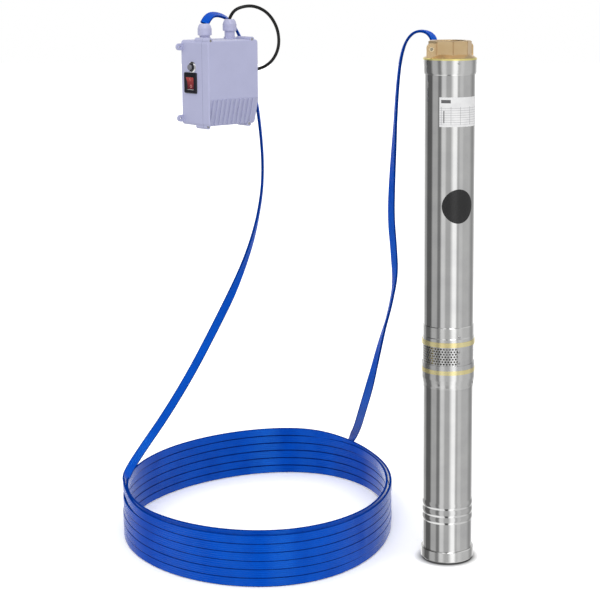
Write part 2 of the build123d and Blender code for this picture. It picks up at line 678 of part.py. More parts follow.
def valve_poppet():
    low = SPIGOT_BASE + VALVE_SEAT_THICK + GAP
    high = GUIDE_BASE + 6.3
    return lathe((0, low), (VALVE_R, low), (VALVE_R, low + 2.5), (VALVE_R - 3, low + 4), (5, low + 6),
                 (VALVE_STEM_R, low + 8), (VALVE_STEM_R, high), (0, high))


def valve_guide():
    outer = CHAMBER_R - TOUCH
    high = PUMP_TOP - PORT_DEPTH - 4.5
    rim = ring(outer, outer - 3, GUIDE_BASE, high)
    hub = ring(8, VALVE_STEM_R + RUNNING, GUIDE_BASE - 2, high)
    arm = block(7, outer - 2, -1.5, 1.5, GUIDE_BASE, high)
    return rim + hub + round_copies(arm, 3)


def valve_spring():
    low = SPIGOT_BASE + VALVE_SEAT_THICK + GAP + 6.6 + SPRING_WIRE_R
    rise = GUIDE_BASE - 2 - SPRING_WIRE_R - low
    path = Pos(0, 0, low) * Helix(pitch=rise / SPRING_TURNS, height=rise, radius=SPRING_R)
    section = RegularPolygon(SPRING_WIRE_R, 6)
    return sweep(Plane(origin=path @ 0, z_dir=path % 0) * section, path=path, is_frenet=True)


def cable_guard():
    half = LEAD_WIDTH / 2 + 1.2
    face = LEAD_R + LEAD_THICK + 0.3
    channel = block(40, face + GUARD_WALL, -half - GUARD_WALL, half + GUARD_WALL, LEAD_FOOT + 1, GUARD_TOP)
    hollow = block(30, face, -half, half, LEAD_FOOT, GUARD_TOP + 1)
    tabs = []
    reach = degrees(atan2(half, TOP_COLLAR_R))
    for level, radius in GUARD_TABS:
        low, high = level - TAB_HALF, level + TAB_HALF
        tab = sheet_sector(radius + 0.05, GUARD_WALL, low, high, -reach - 13, reach + 13)
        tabs.append(tab - block(30, 60, -half, half, low - 1, high + 1))
    body = channel - hollow + tabs
    clear = 0.05
    body = body - rod(TUBE_R + clear, LEAD_FOOT, GUARD_TOP + 1)
    for radius, low, high in ((BELL_R, LEAD_FOOT, BELL_TOP + clear), (FLANGE_R, BELL_TOP, HOOP_TOP + clear),
                              (RING_R, SCREEN_TOP - clear, RING_TOP + clear),
                              (LOW_COLLAR_R + 0.6, RING_TOP, RING_TOP + 7),
                              (LOW_COLLAR_R, RING_TOP, LOW_COLLAR_TOP + clear),
                              (TUBE_R + SCREEN_WALL, HOOP_TOP, SCREEN_TOP),
                              (TOP_COLLAR_R, TOP_COLLAR_BASE - clear, GUARD_TOP + 1)):
        body = body - rod(radius + clear, low, high)
    return turned(body, GUARD_AZIMUTH)


def guard_screws():
    heads = []
    for level, radius in GUARD_TABS:
        head = Pos(radius + 0.05 + GUARD_WALL, 0, level) * Rot(0, 90, 0)
        head = head * Cylinder(2.4, 1.4, align=(Align.CENTER, Align.CENTER, Align.MIN))
        heads += [turned(head, GUARD_AZIMUTH - 21), turned(head, GUARD_AZIMUTH + 21)]
    return heads


def pump_screws():
    return bell_screws() + strainer_screws() + guard_screws()


def motor_lead():
    # Flat lead with the plug that is moulded on its lower end
    strip = block(LEAD_R, LEAD_R + LEAD_THICK, -LEAD_WIDTH / 2, LEAD_WIDTH / 2, LEAD_FOOT, LEAD_TOP)
    strip = fillet(strip.edges().filter_by(Axis.Z), 1.6)
    half = LEAD_WIDTH / 2 + 0.4
    plug = block(LEAD_SEAT_R + 0.1, LEAD_R + LEAD_THICK - 0.2, -half, half, LEAD_SEAT_Z + 0.1, LEAD_FOOT)
    return turned(strip + plug, GUARD_AZIMUTH)


def rating_plate():
    return sheet_sector(TUBE_R + TOUCH, LABEL_THICK, PLATE_LOW, PLATE_HIGH, PLATE_FROM, PLATE_TO)


def round_sticker():
    band = sheet_sector(TUBE_R + TOUCH, LABEL_THICK, STICKER_Z - STICKER_R, STICKER_Z + STICKER_R, -60, 60)
    # The disc is cut flat and then wrapped, so its outline is squeezed by the curve
    half_angle = STICKER_R / TUBE_R
    cutter = extrude(Ellipse(TUBE_R * sin(half_angle), STICKER_R), 80)
    cutter = Pos(0, 0, STICKER_Z) * Rot(0, 90, 0) * Rot(0, 0, 90) * cutter
    return turned(band & cutter, STICKER_AZIMUTH)


# Control box, built in its own corner frame: u along the width, w into the depth, z up

def on_wall(shape):
    place = Location((BOX_X, BOX_Y, BOX_Z), (0, 0, BOX_YAW))
    if isinstance(shape, (list, ShapeList)):
        return [place * s for s in shape]
    return place * shape


def boss_places():
    # Across, level and front end of each screw boss: the low ones stand back with the slope
    ends = ((BOX_H + BOSS_PROUD, 0), (-BOSS_PROUD, BOSS_SET_BACK))
    return [(u, z, front) for z, front in ends for u in (BOSS_LOW_U, BOSS_HIGH_U)]


def boss_rod(radius, place, w0, w1):
    return Pos(place[0], (w0 + w1) / 2, place[1]) * Rot(90, 0, 0) * Cylinder(radius, w1 - w0)


def boss_row(w0, w1):
    return [boss_rod(BOSS_R, place, max(w0, place[2]), w1) for place in boss_places()]


def box_outline(low, high):
    # The rounded outside of the housing between two depths
    shape = block(0, BOX_W, low, high, 0, BOX_H)
    return fillet(shape.edges().filter_by(Axis.Y), BOX_CORNER)


def box_inside(low, high):
    wall = BOX_WALL
    shape = block(wall, BOX_W - wall, low, high, wall, BOX_H - wall)
    return fillet(shape.edges().filter_by(Axis.Y), BOX_CORNER - wall)


def wall_lug(u, z, side):
    pad = Pos(u + side * LUG_REACH, 0, z) * Rot(90, 0, 0) * Cylinder(LUG_R, LUG_THICK)
    web = block(min(0, side * LUG_REACH) + u, max(0, side * LUG_REACH) + u, -LUG_THICK / 2, LUG_THICK / 2,
                z - LUG_R, z + LUG_R)
    hole = Pos(u + side * LUG_REACH, 0, z) * Rot(90, 0, 0) * Cylinder(LUG_HOLE_R, LUG_THICK + 2)
    place = Pos(0, BOX_D - LUG_THICK / 2, 0)
    return place * (pad + web), place * hole


def side_cut(w, z, width, height):
    return block(-5, BOX_WALL + 1, w - width / 2, w + width / 2, z - height / 2, z + height / 2)


def box_base():
    shell = box_outline(COVER_DEPTH, BOX_D)
    shell = shell + boss_row(COVER_DEPTH, BOSS_LENGTH)
    lugs = [wall_lug(u, z, s) for u, s in ((0, -1), (BOX_W, 1)) for z in (LUG_LOW, LUG_HIGH)]
    shell = shell + [lug for lug, hole in lugs]
    shell = shell - box_inside(COVER_DEPTH - 1, BOX_D - BOX_WALL) - [hole for lug, hole in lugs]
    glands = [Pos(u, GLAND_W, BOX_H) * Cylinder(GLAND_NECK_R - 1.5, 20) for u in GLAND_U]
    switch = side_cut(SWITCH_W, SWITCH_Z, SWITCH_FRAME[0] - 6, SWITCH_FRAME[1] - 6)
    breaker = Pos(0, BREAKER_W, BREAKER_Z) * Rot(0, 90, 0) * Cylinder(BREAKER_NUT_R - 3, 12)
    return on_wall(shell - glands - switch - breaker)


def box_cover():
    slab = box_outline(0, COVER_DEPTH - 0.1)
    slope = Polyline((-1, -1), (SLOPE_IN, -1), (SLOPE_IN, 0), (0, SLOPE_TOP), (-1, SLOPE_TOP), close=True)
    # The left wall stays whole beside the slope
    cut = Pos(BOX_WALL, 0, 0) * extrude(Plane.YZ * make_face(slope), BOX_W)
    front = fillet(slab.faces().sort_by(Axis.Y)[0].edges(), 2.5) - cut
    hollow = box_inside(BOX_WALL, COVER_DEPTH + 1)
    inner_slope = Polyline((-1, -1), (SLOPE_IN + BOX_WALL, -1), (SLOPE_IN + BOX_WALL, 0),
                           (BOX_WALL, SLOPE_TOP), (-1, SLOPE_TOP), close=True)
    hollow = hollow - extrude(Plane.YZ * make_face(inner_slope), BOX_W)
    cover = front - hollow + boss_row(0, COVER_DEPTH - 0.1)
    lean = degrees(atan2(SLOPE_IN, SLOPE_TOP))
    length = sqrt(SLOPE_IN ** 2 + SLOPE_TOP ** 2) - 3
    first = (BOX_W - (RIB_COUNT - 1) * RIB_PITCH) / 2
    rib = block(-RIB_WIDTH / 2, RIB_WIDTH / 2, -RIB_PROUD, 1, -length, 0)
    ribs = [Pos(first + i * RIB_PITCH, 0, SLOPE_TOP - 1) * Rot(lean, 0, 0) * rib for i in range(RIB_COUNT)]
    sockets = [boss_rod(SCREW_R + 0.8, place, place[2] - 1, place[2] + 3) for place in boss_places()]
    bores = [boss_rod(SCREW_R, place, place[2] - 1, COVER_DEPTH) for place in boss_places()]
    return on_wall(cover + ribs - sockets - bores)


def cover_screws():
    screws = []
    for place in boss_places():
        seat = place[2] + 3
        head = boss_rod(SCREW_R + 0.7, place, seat - 2, seat)
        screws.append(head + boss_rod(SCREW_R - TOUCH, place, seat, COVER_DEPTH - 0.1))
    return on_wall(screws)


def gland_body(index):
    rise = GLAND_RISE[index]
    collar = rise - GLAND_NUT_HEIGHT
    hexagon = extrude(RegularPolygon(GLAND_NECK_R + 1.6, 6, rotation=15), min(5, collar - 1))
    neck = Cylinder(GLAND_NECK_R, collar, align=(Align.CENTER, Align.CENTER, Align.MIN))
    thread = Pos(0, 0, -12) * Cylinder(GLAND_NECK_R - 1.6, 12.1, align=(Align.CENTER, Align.CENTER, Align.MIN))
    lock = Pos(0, 0, -BOX_WALL - 4) * extrude(RegularPolygon(GLAND_NECK_R + 1.6, 6), 4)
    core = Cylinder(GLAND_HOLE_R + 2, rise - 3, align=(Align.CENTER, Align.CENTER, Align.MIN))
    bore = Pos(0, 0, -13) * Cylinder(GLAND_HOLE_R, rise + 30, align=(Align.CENTER, Align.CENTER, Align.MIN))
    body = hexagon + neck + thread + lock + core - bore
    return on_wall(Pos(GLAND_U[index], GLAND_W, BOX_H) * body)


def gland_bodies():
    return [gland_body(i) for i in range(len(GLAND_U))]


def gland_nut(index):
    rise = GLAND_RISE[index]
    low = rise - GLAND_NUT_HEIGHT + 0.1
    lip = GLAND_HOLE_R - 1.2
    dome = lathe((GLAND_HOLE_R + 2.1, low), (GLAND_NUT_R, low), (GLAND_NUT_R, rise - 9), (GLAND_NUT_R - 1.2, rise - 4),
                 (GLAND_NUT_R - 4, rise), (lip, rise), (lip, rise - 2.9), (GLAND_HOLE_R + 2.1, rise - 2.9))
    grip = block(GLAND_NUT_R - 0.6, GLAND_NUT_R + 0.4, -0.9, 0.9, low + 1, rise - 9)
    return on_wall(Pos(GLAND_U[index], GLAND_W, BOX_H) * (dome + round_copies(grip, 12)))


def gland_nuts():
    return [gland_nut(i) for i in range(len(GLAND_U))]


def switch_bezel():
    width, height = SWITCH_FRAME
    outer = block(-SWITCH_PROUD, 0, SWITCH_W - width / 2, SWITCH_W + width / 2, SWITCH_Z - height / 2,
                  SWITCH_Z + height / 2)
    outer = fillet(outer.edges().filter_by(Axis.X), 2.5)
    outer = chamfer(outer.faces().sort_by(Axis.X)[0].edges(), 1)
    window = block(-6, 1, SWITCH_W - SWITCH_WINDOW[0] / 2, SWITCH_W + SWITCH_WINDOW[0] / 2,
                   SWITCH_Z - SWITCH_WINDOW[1] / 2, SWITCH_Z + SWITCH_WINDOW[1] / 2)
    return outer - window


def switch_housing():
    # Bezel and body are one moulding; the body passes through the box's side
    width, height = SWITCH_FRAME[0] - 6.2, SWITCH_FRAME[1] - 6.2
    body = block(0, SWITCH_BODY_DEPTH, SWITCH_W - width / 2, SWITCH_W + width / 2, SWITCH_Z - height / 2,
                 SWITCH_Z + height / 2)
    well = block(-1, 9.5, SWITCH_W - SWITCH_WINDOW[0] / 2, SWITCH_W + SWITCH_WINDOW[0] / 2,
                 SWITCH_Z - SWITCH_WINDOW[1] / 2, SWITCH_Z + SWITCH_WINDOW[1] / 2)
    blades = [block(SWITCH_BODY_DEPTH, SWITCH_BODY_DEPTH + 9, SWITCH_W + a, SWITCH_W + a + 0.8, SWITCH_Z + b - 3,
                    SWITCH_Z + b + 3) for a in (-7, 6) for b in (-8, 8)]
    bearing = Pos(ROCKER_PIVOT, SWITCH_W, SWITCH_Z) * Rot(90, 0, 0)
    bearing = bearing * Cylinder(ROCKER_PIN_R + RUNNING, SWITCH_WINDOW[0] + 3.4)
    return on_wall(switch_bezel() + (body - well - bearing + blades))


def rocker():
    # Two facets that meet in front of the pivot, leaned so that the lower end is pressed in
    half = SWITCH_WINDOW[1] / 2 - 0.8
    side = SWITCH_WINDOW[0] / 2 - GAP
    face = ROCKER_PIVOT + 2.2
    profile = make_face(Polyline((3.5, -half + 3), (-face, -half + 0.6), (1.6 - face, 0), (-face, half - 0.6),
                                 (3.5, half - 3), (4.5, 0), close=True))
    body = extrude(Plane.XZ * profile, side, both=True)
    pin = Rot(90, 0, 0) * Cylinder(ROCKER_PIN_R, SWITCH_WINDOW[0] + 3)
    return on_wall(Pos(ROCKER_PIVOT, SWITCH_W, SWITCH_Z) * Rot(0, -ROCKER_ANGLE / 2, 0) * (body + pin))


def breaker_body():
    cell = block(BOX_WALL, BOX_WALL + 26, BREAKER_W - 8, BREAKER_W + 8, BREAKER_Z - 11, BREAKER_Z + 12)
    barrel = Rot(0, 90, 0) * Cylinder(BREAKER_NUT_R - 3.1, BOX_WALL + 5)
    barrel = Pos((BOX_WALL - 5) / 2, BREAKER_W, BREAKER_Z) * barrel
    depth = BUTTON_INSIDE + BUTTON_TRAVEL + 1
    hole = Pos(0, BREAKER_W, BREAKER_Z) * Rot(0, 90, 0) * Cylinder(BUTTON_R + RUNNING, 2 * depth)
    blades = [block(BOX_WALL + 26, BOX_WALL + 34, BREAKER_W - 3, BREAKER_W + 3, BREAKER_Z + b, BREAKER_Z + b + 0.8)
              for b in (-7, 6)]
    return on_wall(cell + barrel - hole + blades)


def breaker_nut():
    ring_nut = ring(BREAKER_NUT_R, BREAKER_NUT_R - 3, 0, 3)
    ring_nut = chamfer(ring_nut.edges().group_by(Axis.Z)[-1].sort_by(SortBy.LENGTH)[-1], 1)
    return on_wall(Pos(0, BREAKER_W, BREAKER_Z) * Rot(0, -90, 0) * ring_nut)


def reset_button():
    cap = rod(BUTTON_R, 0, BUTTON_INSIDE + BUTTON_PROUD)
    cap = fillet(cap.edges().group_by(Axis.Z)[-1], 1.2)
    return on_wall(Pos(BUTTON_INSIDE, BREAKER_W, BREAKER_Z) * Rot(0, -90, 0) * cap)


def capacitor():
    can = Cylinder(CAPACITOR_R, CAPACITOR_LENGTH, align=(Align.CENTER, Align.CENTER, Align.MIN))
    can = fillet(can.edges().filter_by(GeomType.CIRCLE), 3)
    tags = [block(a, a + 0.8, -3, 3, CAPACITOR_LENGTH, CAPACITOR_LENGTH + 8) for a in (-6, 6)]
    return on_wall(Pos(CAPACITOR_U, CAPACITOR_W, CAPACITOR_Z) * (can + tags))


def capacitor_clamp():
    band = ring(CAPACITOR_R + 1.5, CAPACITOR_R + 0.05, 30, 42)
    foot = block(-12, 12, CAPACITOR_R + 0.6, CAPACITOR_R + 2, 30, 42)
    return on_wall(Pos(CAPACITOR_U, CAPACITOR_W, CAPACITOR_Z) * (band + foot))


def terminal_block():
    back = BOX_D - BOX_WALL
    front = back - TERMINAL_DEPTH
    base = block(TERMINAL_U, TERMINAL_U + TERMINAL_LENGTH, front, back, TERMINAL_Z, TERMINAL_Z + TERMINAL_HEIGHT)
    well = Rot(90, 0, 0) * Cylinder(2.2, 10)
    pitch = (TERMINAL_LENGTH - 16) / (TERMINAL_WAYS - 1)
    middle = TERMINAL_Z + TERMINAL_HEIGHT / 2
    wells = [Pos(TERMINAL_U + 8 + pitch * i, front, middle) * well for i in range(TERMINAL_WAYS)]
    return on_wall(base - wells)


# Cables

def coil_outline(inset):
    # An ellipse whose front and back lean to the right, as a smooth closed curve
    points = []
    for step in range(24):
        angle = radians(15 * step)
        x = (COIL_RX - inset) * cos(angle) + COIL_EGG * sin(angle) ** 2
        points.append((x, (COIL_RY - inset) * sin(angle)))
    return make_face(Spline(*points, periodic=True))


def cable_coil():
    return Pos(COIL_X, COIL_Y, 0) * extrude(coil_outline(0) - coil_outline(COIL_WALL), COIL_HEIGHT)


def mains_coil():
    u, w, z = MAINS_COIL
    hank = ring(MAINS_COIL_R, MAINS_COIL_IN, 0, MAINS_COIL_DEPTH)
    return on_wall(Pos(u, w, z) * Rot(-90, 0, 0) * hank)


def mains_tie():
    u, w, z = MAINS_COIL
    middle = (MAINS_COIL_R + MAINS_COIL_IN) / 2
    thick = MAINS_COIL_R - MAINS_COIL_IN
    outer = block(-2.5, 2.5, w - 0.2, w + MAINS_COIL_DEPTH + 1.4, middle - thick / 2 - 1.2, middle + thick / 2 + 1.2)
    inner = block(-3, 3, w - 0.05, w + MAINS_COIL_DEPTH + 0.2, middle - thick / 2 - 0.2, middle + thick / 2 + 0.2)
    head = block(-3, 3, w + MAINS_COIL_DEPTH + 1.4, w + MAINS_COIL_DEPTH + 5, middle - 3, middle + 3)
    return on_wall(Pos(u, 0, z) * Rot(0, -50, 0) * (outer - inner + head))


def mains_plug():
    # Round plug with its two pins, at the end of a tapered strain relief
    low = -PLUG_U + MAINS_COIL[0] + 12
    relief = lathe((0, low), (MAINS_R + 0.4, low), (6, -1), (8, 1), (0, 1))
    body = lathe((0, 0), (10, 0), (PLUG_R - 3, 8), (PLUG_R, 16), (PLUG_R, PLUG_BODY - 6), (PLUG_R - 1.5, PLUG_BODY),
                 (0, PLUG_BODY))
    pins = [Pos(a, 0, PLUG_BODY - 1) * Cylinder(PIN_R, PIN_LENGTH + 1, align=(Align.CENTER, Align.CENTER, Align.MIN))
            for a in (-PIN_SPACING / 2, PIN_SPACING / 2)]
    level = MAINS_COIL[2] - (MAINS_COIL_R + MAINS_COIL_IN) / 2
    return on_wall(Pos(PLUG_U, PLUG_W, level) * Rot(0, 90, 0) * (relief + body + pins))


NODES = {
    "end_cap": end_cap, "diaphragm": diaphragm, "lower_bracket": lower_bracket, "thrust_pads": thrust_pads,
    "thrust_disc": thrust_disc, "motor_bushes": motor_bushes, "motor_shaft": motor_shaft,
    "rotor_core": rotor_core, "rotor_cage": rotor_cage, "stator_core": stator_core, "windings": windings,
    "motor_tube": motor_tube, "motor_top_bell": motor_top_bell, "seal_seat": seal_seat,
    "seal_ring": seal_ring, "sand_slinger": sand_slinger,
    "flange_studs": flange_studs, "flange_nuts": flange_nuts, "suction_bracket": suction_bracket,
    "strainer_screen": strainer_screen, "shaft_coupling": shaft_coupling,
    "lower_collar": lower_collar, "pump_shell": pump_shell, "top_collar": top_collar, "bowls": bowls,
    "impellers": impellers, "bearing_spider": bearing_spider, "top_bush": top_bush, "pump_shaft": pump_shaft,
    "shaft_nut": shaft_nut, "discharge_head": discharge_head, "valve_seat": valve_seat,
    "valve_poppet": valve_poppet, "valve_guide": valve_guide, "valve_spring": valve_spring,
    "cable_guard": cable_guard, "pump_screws": pump_screws, "motor_lead": motor_lead,
    "rating_plate": rating_plate, "round_sticker": round_sticker,
    "box_base": box_base, "box_cover": box_cover, "cover_screws": cover_screws,
    "gland_bodies": gland_bodies, "gland_nuts": gland_nuts, "switch_housing": switch_housing, "rocker": rocker,
    "breaker_body": breaker_body, "breaker_nut": breaker_nut, "reset_button": reset_button,
    "capacitor": capacitor, "capacitor_clamp": capacitor_clamp, "terminal_block": terminal_block,
    "cable_coil": cable_coil,
    "cable_pump_side": lambda: route_tube(PUMP_SIDE, CABLE_TUBE_R, "pump side"),
    "cable_riser": lambda: route_tube(RISER, CABLE_TUBE_R, "riser"),
    "mains_lead": lambda: route_tube(MAINS, MAINS_R, "mains lead"),
    "mains_coil": mains_coil, "mains_tie": mains_tie, "mains_plug": mains_plug,
}


def as_solids(shape):
    if isinstance(shape, (list, tuple)):
        return [solid for piece in shape for solid in as_solids(piece)]
    return list(shape.solids())


os.makedirs("parts", exist_ok=True)
for name, make in NODES.items():
    pieces = as_solids(make())
    for piece in pieces:
        piece.label = name
    whole = pieces[0] if len(pieces) == 1 else Compound(children=pieces, label=name)
    export_step(whole, f"parts/{name}.step")
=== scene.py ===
"""Looks of a deep-well pump with its control box and cables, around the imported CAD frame.

Metres, in the frame's own axes: origin at the middle of the pump's base, +Z up along its shaft.
"""

from math import cos, pi, radians, sin

import bpy
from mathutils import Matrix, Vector


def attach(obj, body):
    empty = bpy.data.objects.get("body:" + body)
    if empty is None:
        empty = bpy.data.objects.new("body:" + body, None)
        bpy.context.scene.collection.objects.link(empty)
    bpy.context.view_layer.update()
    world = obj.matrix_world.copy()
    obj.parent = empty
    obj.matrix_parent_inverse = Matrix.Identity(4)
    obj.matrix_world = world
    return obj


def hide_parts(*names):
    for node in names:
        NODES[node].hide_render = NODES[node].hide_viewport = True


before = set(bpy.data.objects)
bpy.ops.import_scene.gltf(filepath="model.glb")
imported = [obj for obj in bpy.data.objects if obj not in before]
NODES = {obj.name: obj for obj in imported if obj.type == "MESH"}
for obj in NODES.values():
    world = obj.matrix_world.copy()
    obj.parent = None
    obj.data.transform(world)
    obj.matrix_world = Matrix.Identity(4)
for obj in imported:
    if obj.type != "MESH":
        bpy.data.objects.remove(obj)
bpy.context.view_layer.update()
MM = 0.001

# Camera of the photograph, whose principal point is off its middle
CAMERA_PLACE = (-0.1184, -2.8783, 1.097)
CAMERA_TILT = 81.06
CAMERA_LENS = 96
CAMERA_SHIFT = (-0.14, -0.14)

# Light: levels of the dome and the sun, the sun's spread and its turn in degrees
DOME_LEVEL = 1.0
SUN_LEVEL = 0.75
SUN_ANGLE = 40
SUN_TURN = (48, -3, 0)

# Floor: size, depth below the pump, grey for the light it throws back and for the camera, and glow
FLOOR_SIZE = 30
FLOOR_DROP = 0.3 * MM
FLOOR_GREY = 0.66
FLOOR_SEEN = 1.25
FLOOR_GLOW = 0.02

# Contact shadow painted on the floor: middle, the distances between which it fades, its grey and its fall
CONTACT_MIDDLE = (0, -9 * MM, 0)
CONTACT_FADE = (46 * MM, 63 * MM)
CONTACT_GREY = 0.05
CONTACT_FALL = 0.7

# Studio cards round the object, which only glossy surfaces see: the bearing from the camera's side in
# degrees, from where to where, and the level. One row stands level, one hangs above it and one below.
CARDS = [
    (-180, -150, 1.15), (-141, -126, 0.43), (-119, -91, 0.13), (-82, -59, 0.52), (-53, -43, 0.24),
    (-35, -22, 0.84), (-15, 3, 0.53), (17, 30, 1.30), (36, 42, 0.58), (47, 58, 0.72), (66, 100, 0.60),
    (120, 132, 0.36), (156, 180, 0.90),
]
HIGH_CARDS = [
    (-180, -158, 0.60), (-150, -74, 0.03), (-62, -40, 0.45), (-32, -22, 1.40), (-14, 3, 0.14),
    (15, 32, 5.00), (40, 62, 0.34), (76, 120, 0.80), (132, 180, 0.30),
]
LOW_CARDS = [
    (-180, -140, 0.35), (-120, -40, 1.20), (-30, -20, 1.10), (-13, 1, 0.12), (12, 32, 1.50),
    (42, 150, 0.85),
]

# Degrees above and below level over which the level row gives way to the high and the low one
HIGH_BLEND = (20, 26)
LOW_BLEND = (32, 39)

# Control box: place of its near lower corner and its yaw
BOX_PLACE = Vector((-444.5, 100, 796)) * MM
BOX_YAW = radians(43)

# In the box's axes in millimetres: middle of the switch, where painted light brightens its rocker, the
# rocker's line and ring, the seam of the cover, and where the plug's pins begin
SWITCH_W = 55
SWITCH_Z = 80.2
ROCKER_LIT = (SWITCH_Z - 9, SWITCH_Z + 8)
ROCKER_LINE = (SWITCH_Z + 4, SWITCH_Z + 9)
ROCKER_LINE_HALF = 0.6
ROCKER_RING_Z = SWITCH_Z - 6.5
ROCKER_RING_R = (1.9, 2.9)
BOX_SEAM = (19.55, 20.35)
PIN_FROM_U = 151

# Pump's head: level of its foot, height of the painted highlight on its flange's edge, its octagon's
# corners with their turn in eighths, where their painted shade begins, how broad and how strong it is,
# and its rope eye with the radius of the painted highlight round it
HEAD_BASE = 928.7 * MM
FLANGE_HIGHLIGHT_HEIGHT = 3.4 * MM
CORNER_TURN = 4.5 - 6 / 45
CORNER_FROM_R = 38 * MM
CORNER_FROM_Z = HEAD_BASE + 9 * MM
CORNER_HALF = 0.06
CORNER_SHADE = 0.55
EYE_PLACE = (-34 * MM, 948 * MM)
EYE_HIGHLIGHT_R = 3.8 * MM

# Collar under the head: foot, radius, the taper at its foot, the tube in it, and its gap for the lead
COLLAR_BASE = 902.4 * MM
COLLAR_R = 48.3 * MM
COLLAR_TAPER = 4 * MM
COLLAR_LIP = 0.9 * MM
COLLAR_STEPS = 96
TUBE_R = 46 * MM
LEAD_AZIMUTH = 125
LEAD_HALF = 11

# Rating label, in millimetres: rows and cells with the share of each that its line takes, and bars
LABEL_ROW = 4.2
LABEL_ROW_LINE = 0.16
LABEL_CELL = 17.0
LABEL_CELL_LINE = 0.05
LABEL_RULED = (815.0, 847.0)
LABEL_BAR_Z = (853.5, 859.5)
LABEL_BAR_X = (-17.0, 0.0)
LABEL_POST_Z = (818.0, 840.0)
LABEL_POST_X = (-13.0, -11.2)

# Flat cable: its edges swell a little so that the coil's turns touch, its grooves are a share of its
# thickness, and below a level in millimetres its width stands upright, as in the coil
CABLE_WIDTH = 16.5 * MM
CABLE_THICK = 5 * MM
CABLE_CORES = 4
CABLE_SWELL = 0.25 * MM
CABLE_GROOVE = 0.4
UPRIGHT_BELOW = 100

# Coil of the flat cable: middle, half axes of its centre line, lean of its front and back to the right,
# and where the cable comes in and leaves. A spline cuts inside its knots, so they stand further out.
COIL_MIDDLE = Vector((-368, 164, 0)) * MM
COIL_RX = 260.5 * MM
COIL_RY = 325.5 * MM
COIL_BACK_LEAN = 43 * MM
COIL_FRONT_LEAN = 27 * MM
COIL_FIRST = 27.6
COIL_LAST = -168.6 - 6 * 360
COIL_STEPS = 16
KNOT_STAND = 1 / cos(pi / COIL_STEPS)

# Levels of the coil: their pitch with its swing from front to back, the foot of the first and the top one,
# and the turn that runs inside the others, with how far in and how much higher it does so
LEVEL_PITCH = 16.25 * MM
LEVEL_SWING = 0.45 * MM
LEVEL_FOOT = 0.7 * MM
TOP_LEVEL = 5.0
INNER_TURN = 5
INNER_SHIFT = 13 * MM
INNER_LIFT = 5 * MM

# Mains lead, and where it enters its plug in the box's axes
MAINS_R = 3.1 * MM
PLUG_ENTRY = (74, 103.3, 20.5)

# Put-away coil of the mains lead, in the box's axes in millimetres: middle, first and last angle, and its
# depth and radius, each with its steps as the turns between which it changes and by how much
HANK_MIDDLE = (59, 62)
HANK_FIRST = 74.5
HANK_LAST = 270 + 4 * 360
HANK_KNOTS = 56
HANK_DEPTH = 101.2
HANK_DEPTH_STEPS = [(0.0, 0.45, -13.0), (1.35, 1.65, 7.4), (2.35, 2.65, -3.0), (3.5, 3.85, 10.7)]
HANK_R = 42.6
HANK_R_STEPS = [(2.35, 2.65, -7.0), (4.1, 4.5, 5.9)]

# Route of the flat cable from the pump's head to its coil, each point with the angle of its width:
# 0 is broad to the camera and 90 is edge on
PUMP_SIDE = [
    (-28.2, 40.2, 936.2, 40), (-24.6, 40.5, 957, 44), (-36.0, 49.6, 975.5, 76), (-60, 62.6, 977.5, 84),
    (-77.5, 72, 960, 84), (-87, 77, 930, 84), (-92, 86, 888, 82), (-95.5, 99, 838, 78),
    (-99, 118, 765, 60), (-103, 142, 690, 43), (-105, 167, 615, 34), (-99, 193, 545, 42),
    (-96, 216, 485, 80), (-106, 243, 420, 88), (-126, 280, 340, 50), (-146, 325, 245, 5),
    (-165, 376, 168, 0), (-175, 421, 122, 0), (-186, 465, 88, 5), (-201, 493, 52, 15), (-196, 511, 25, 20),
    (-170, 518, 9, 10), (-138, 500, 9, 0), (-119, 446, 9, 0), (-117, 382, 9, 0), (-127.5, 315, 9, 0),
]

# Route of the flat cable from its coil up to the first gland
RISER = [
    (-621, 100, 92, 0), (-628, 142, 94, 0), (-623, 180, 109, 0), (-597, 214, 146, 0), (-558, 240, 200, 0),
    (-508, 263, 281, 0), (-461, 278, 370, 0), (-416, 284, 460, 8), (-381, 281, 552, 58),
    (-362, 274, 640, 84), (-358, 268, 704, 90), (-361, 262, 765, 90), (-367, 256, 824, 88),
    (-379, 252, 888, 86), (-391, 248, 936, 86), (-402, 236, 970, 86), (-418, 214, 995, 84),
    (-437, 184, 1004, 66), (-450, 161, 1001, 26), (-455.6, 147.1, 987, 0),
]

# Route of the mains lead from the second gland to its put-away coil
MAINS = [
    (-412.4, 187.3, 994), (-408.5, 187.6, 1005), (-395, 191.5, 1016), (-368, 201, 1020), (-341, 218, 1006),
    (-324, 240, 975), (-323, 266, 938), (-338, 286, 908), (-363, 297, 892), (-395, 290, 890),
    (-424, 262, 897), (-446, 238, 899), (-462, 222, 899),
]


def smooth_step(value, low, high):
    share = min(1.0, max(0.0, (value - low) / (high - low)))
    return share * share * (3 - 2 * share)


def box_point(u, w, z):
    """A point given in the control box's own axes, in millimetres, as a place in the frame."""
    east = u * cos(BOX_YAW) - w * sin(BOX_YAW)
    north = u * sin(BOX_YAW) + w * cos(BOX_YAW)
    return BOX_PLACE + Vector((east, north, z)) * MM


# Materials

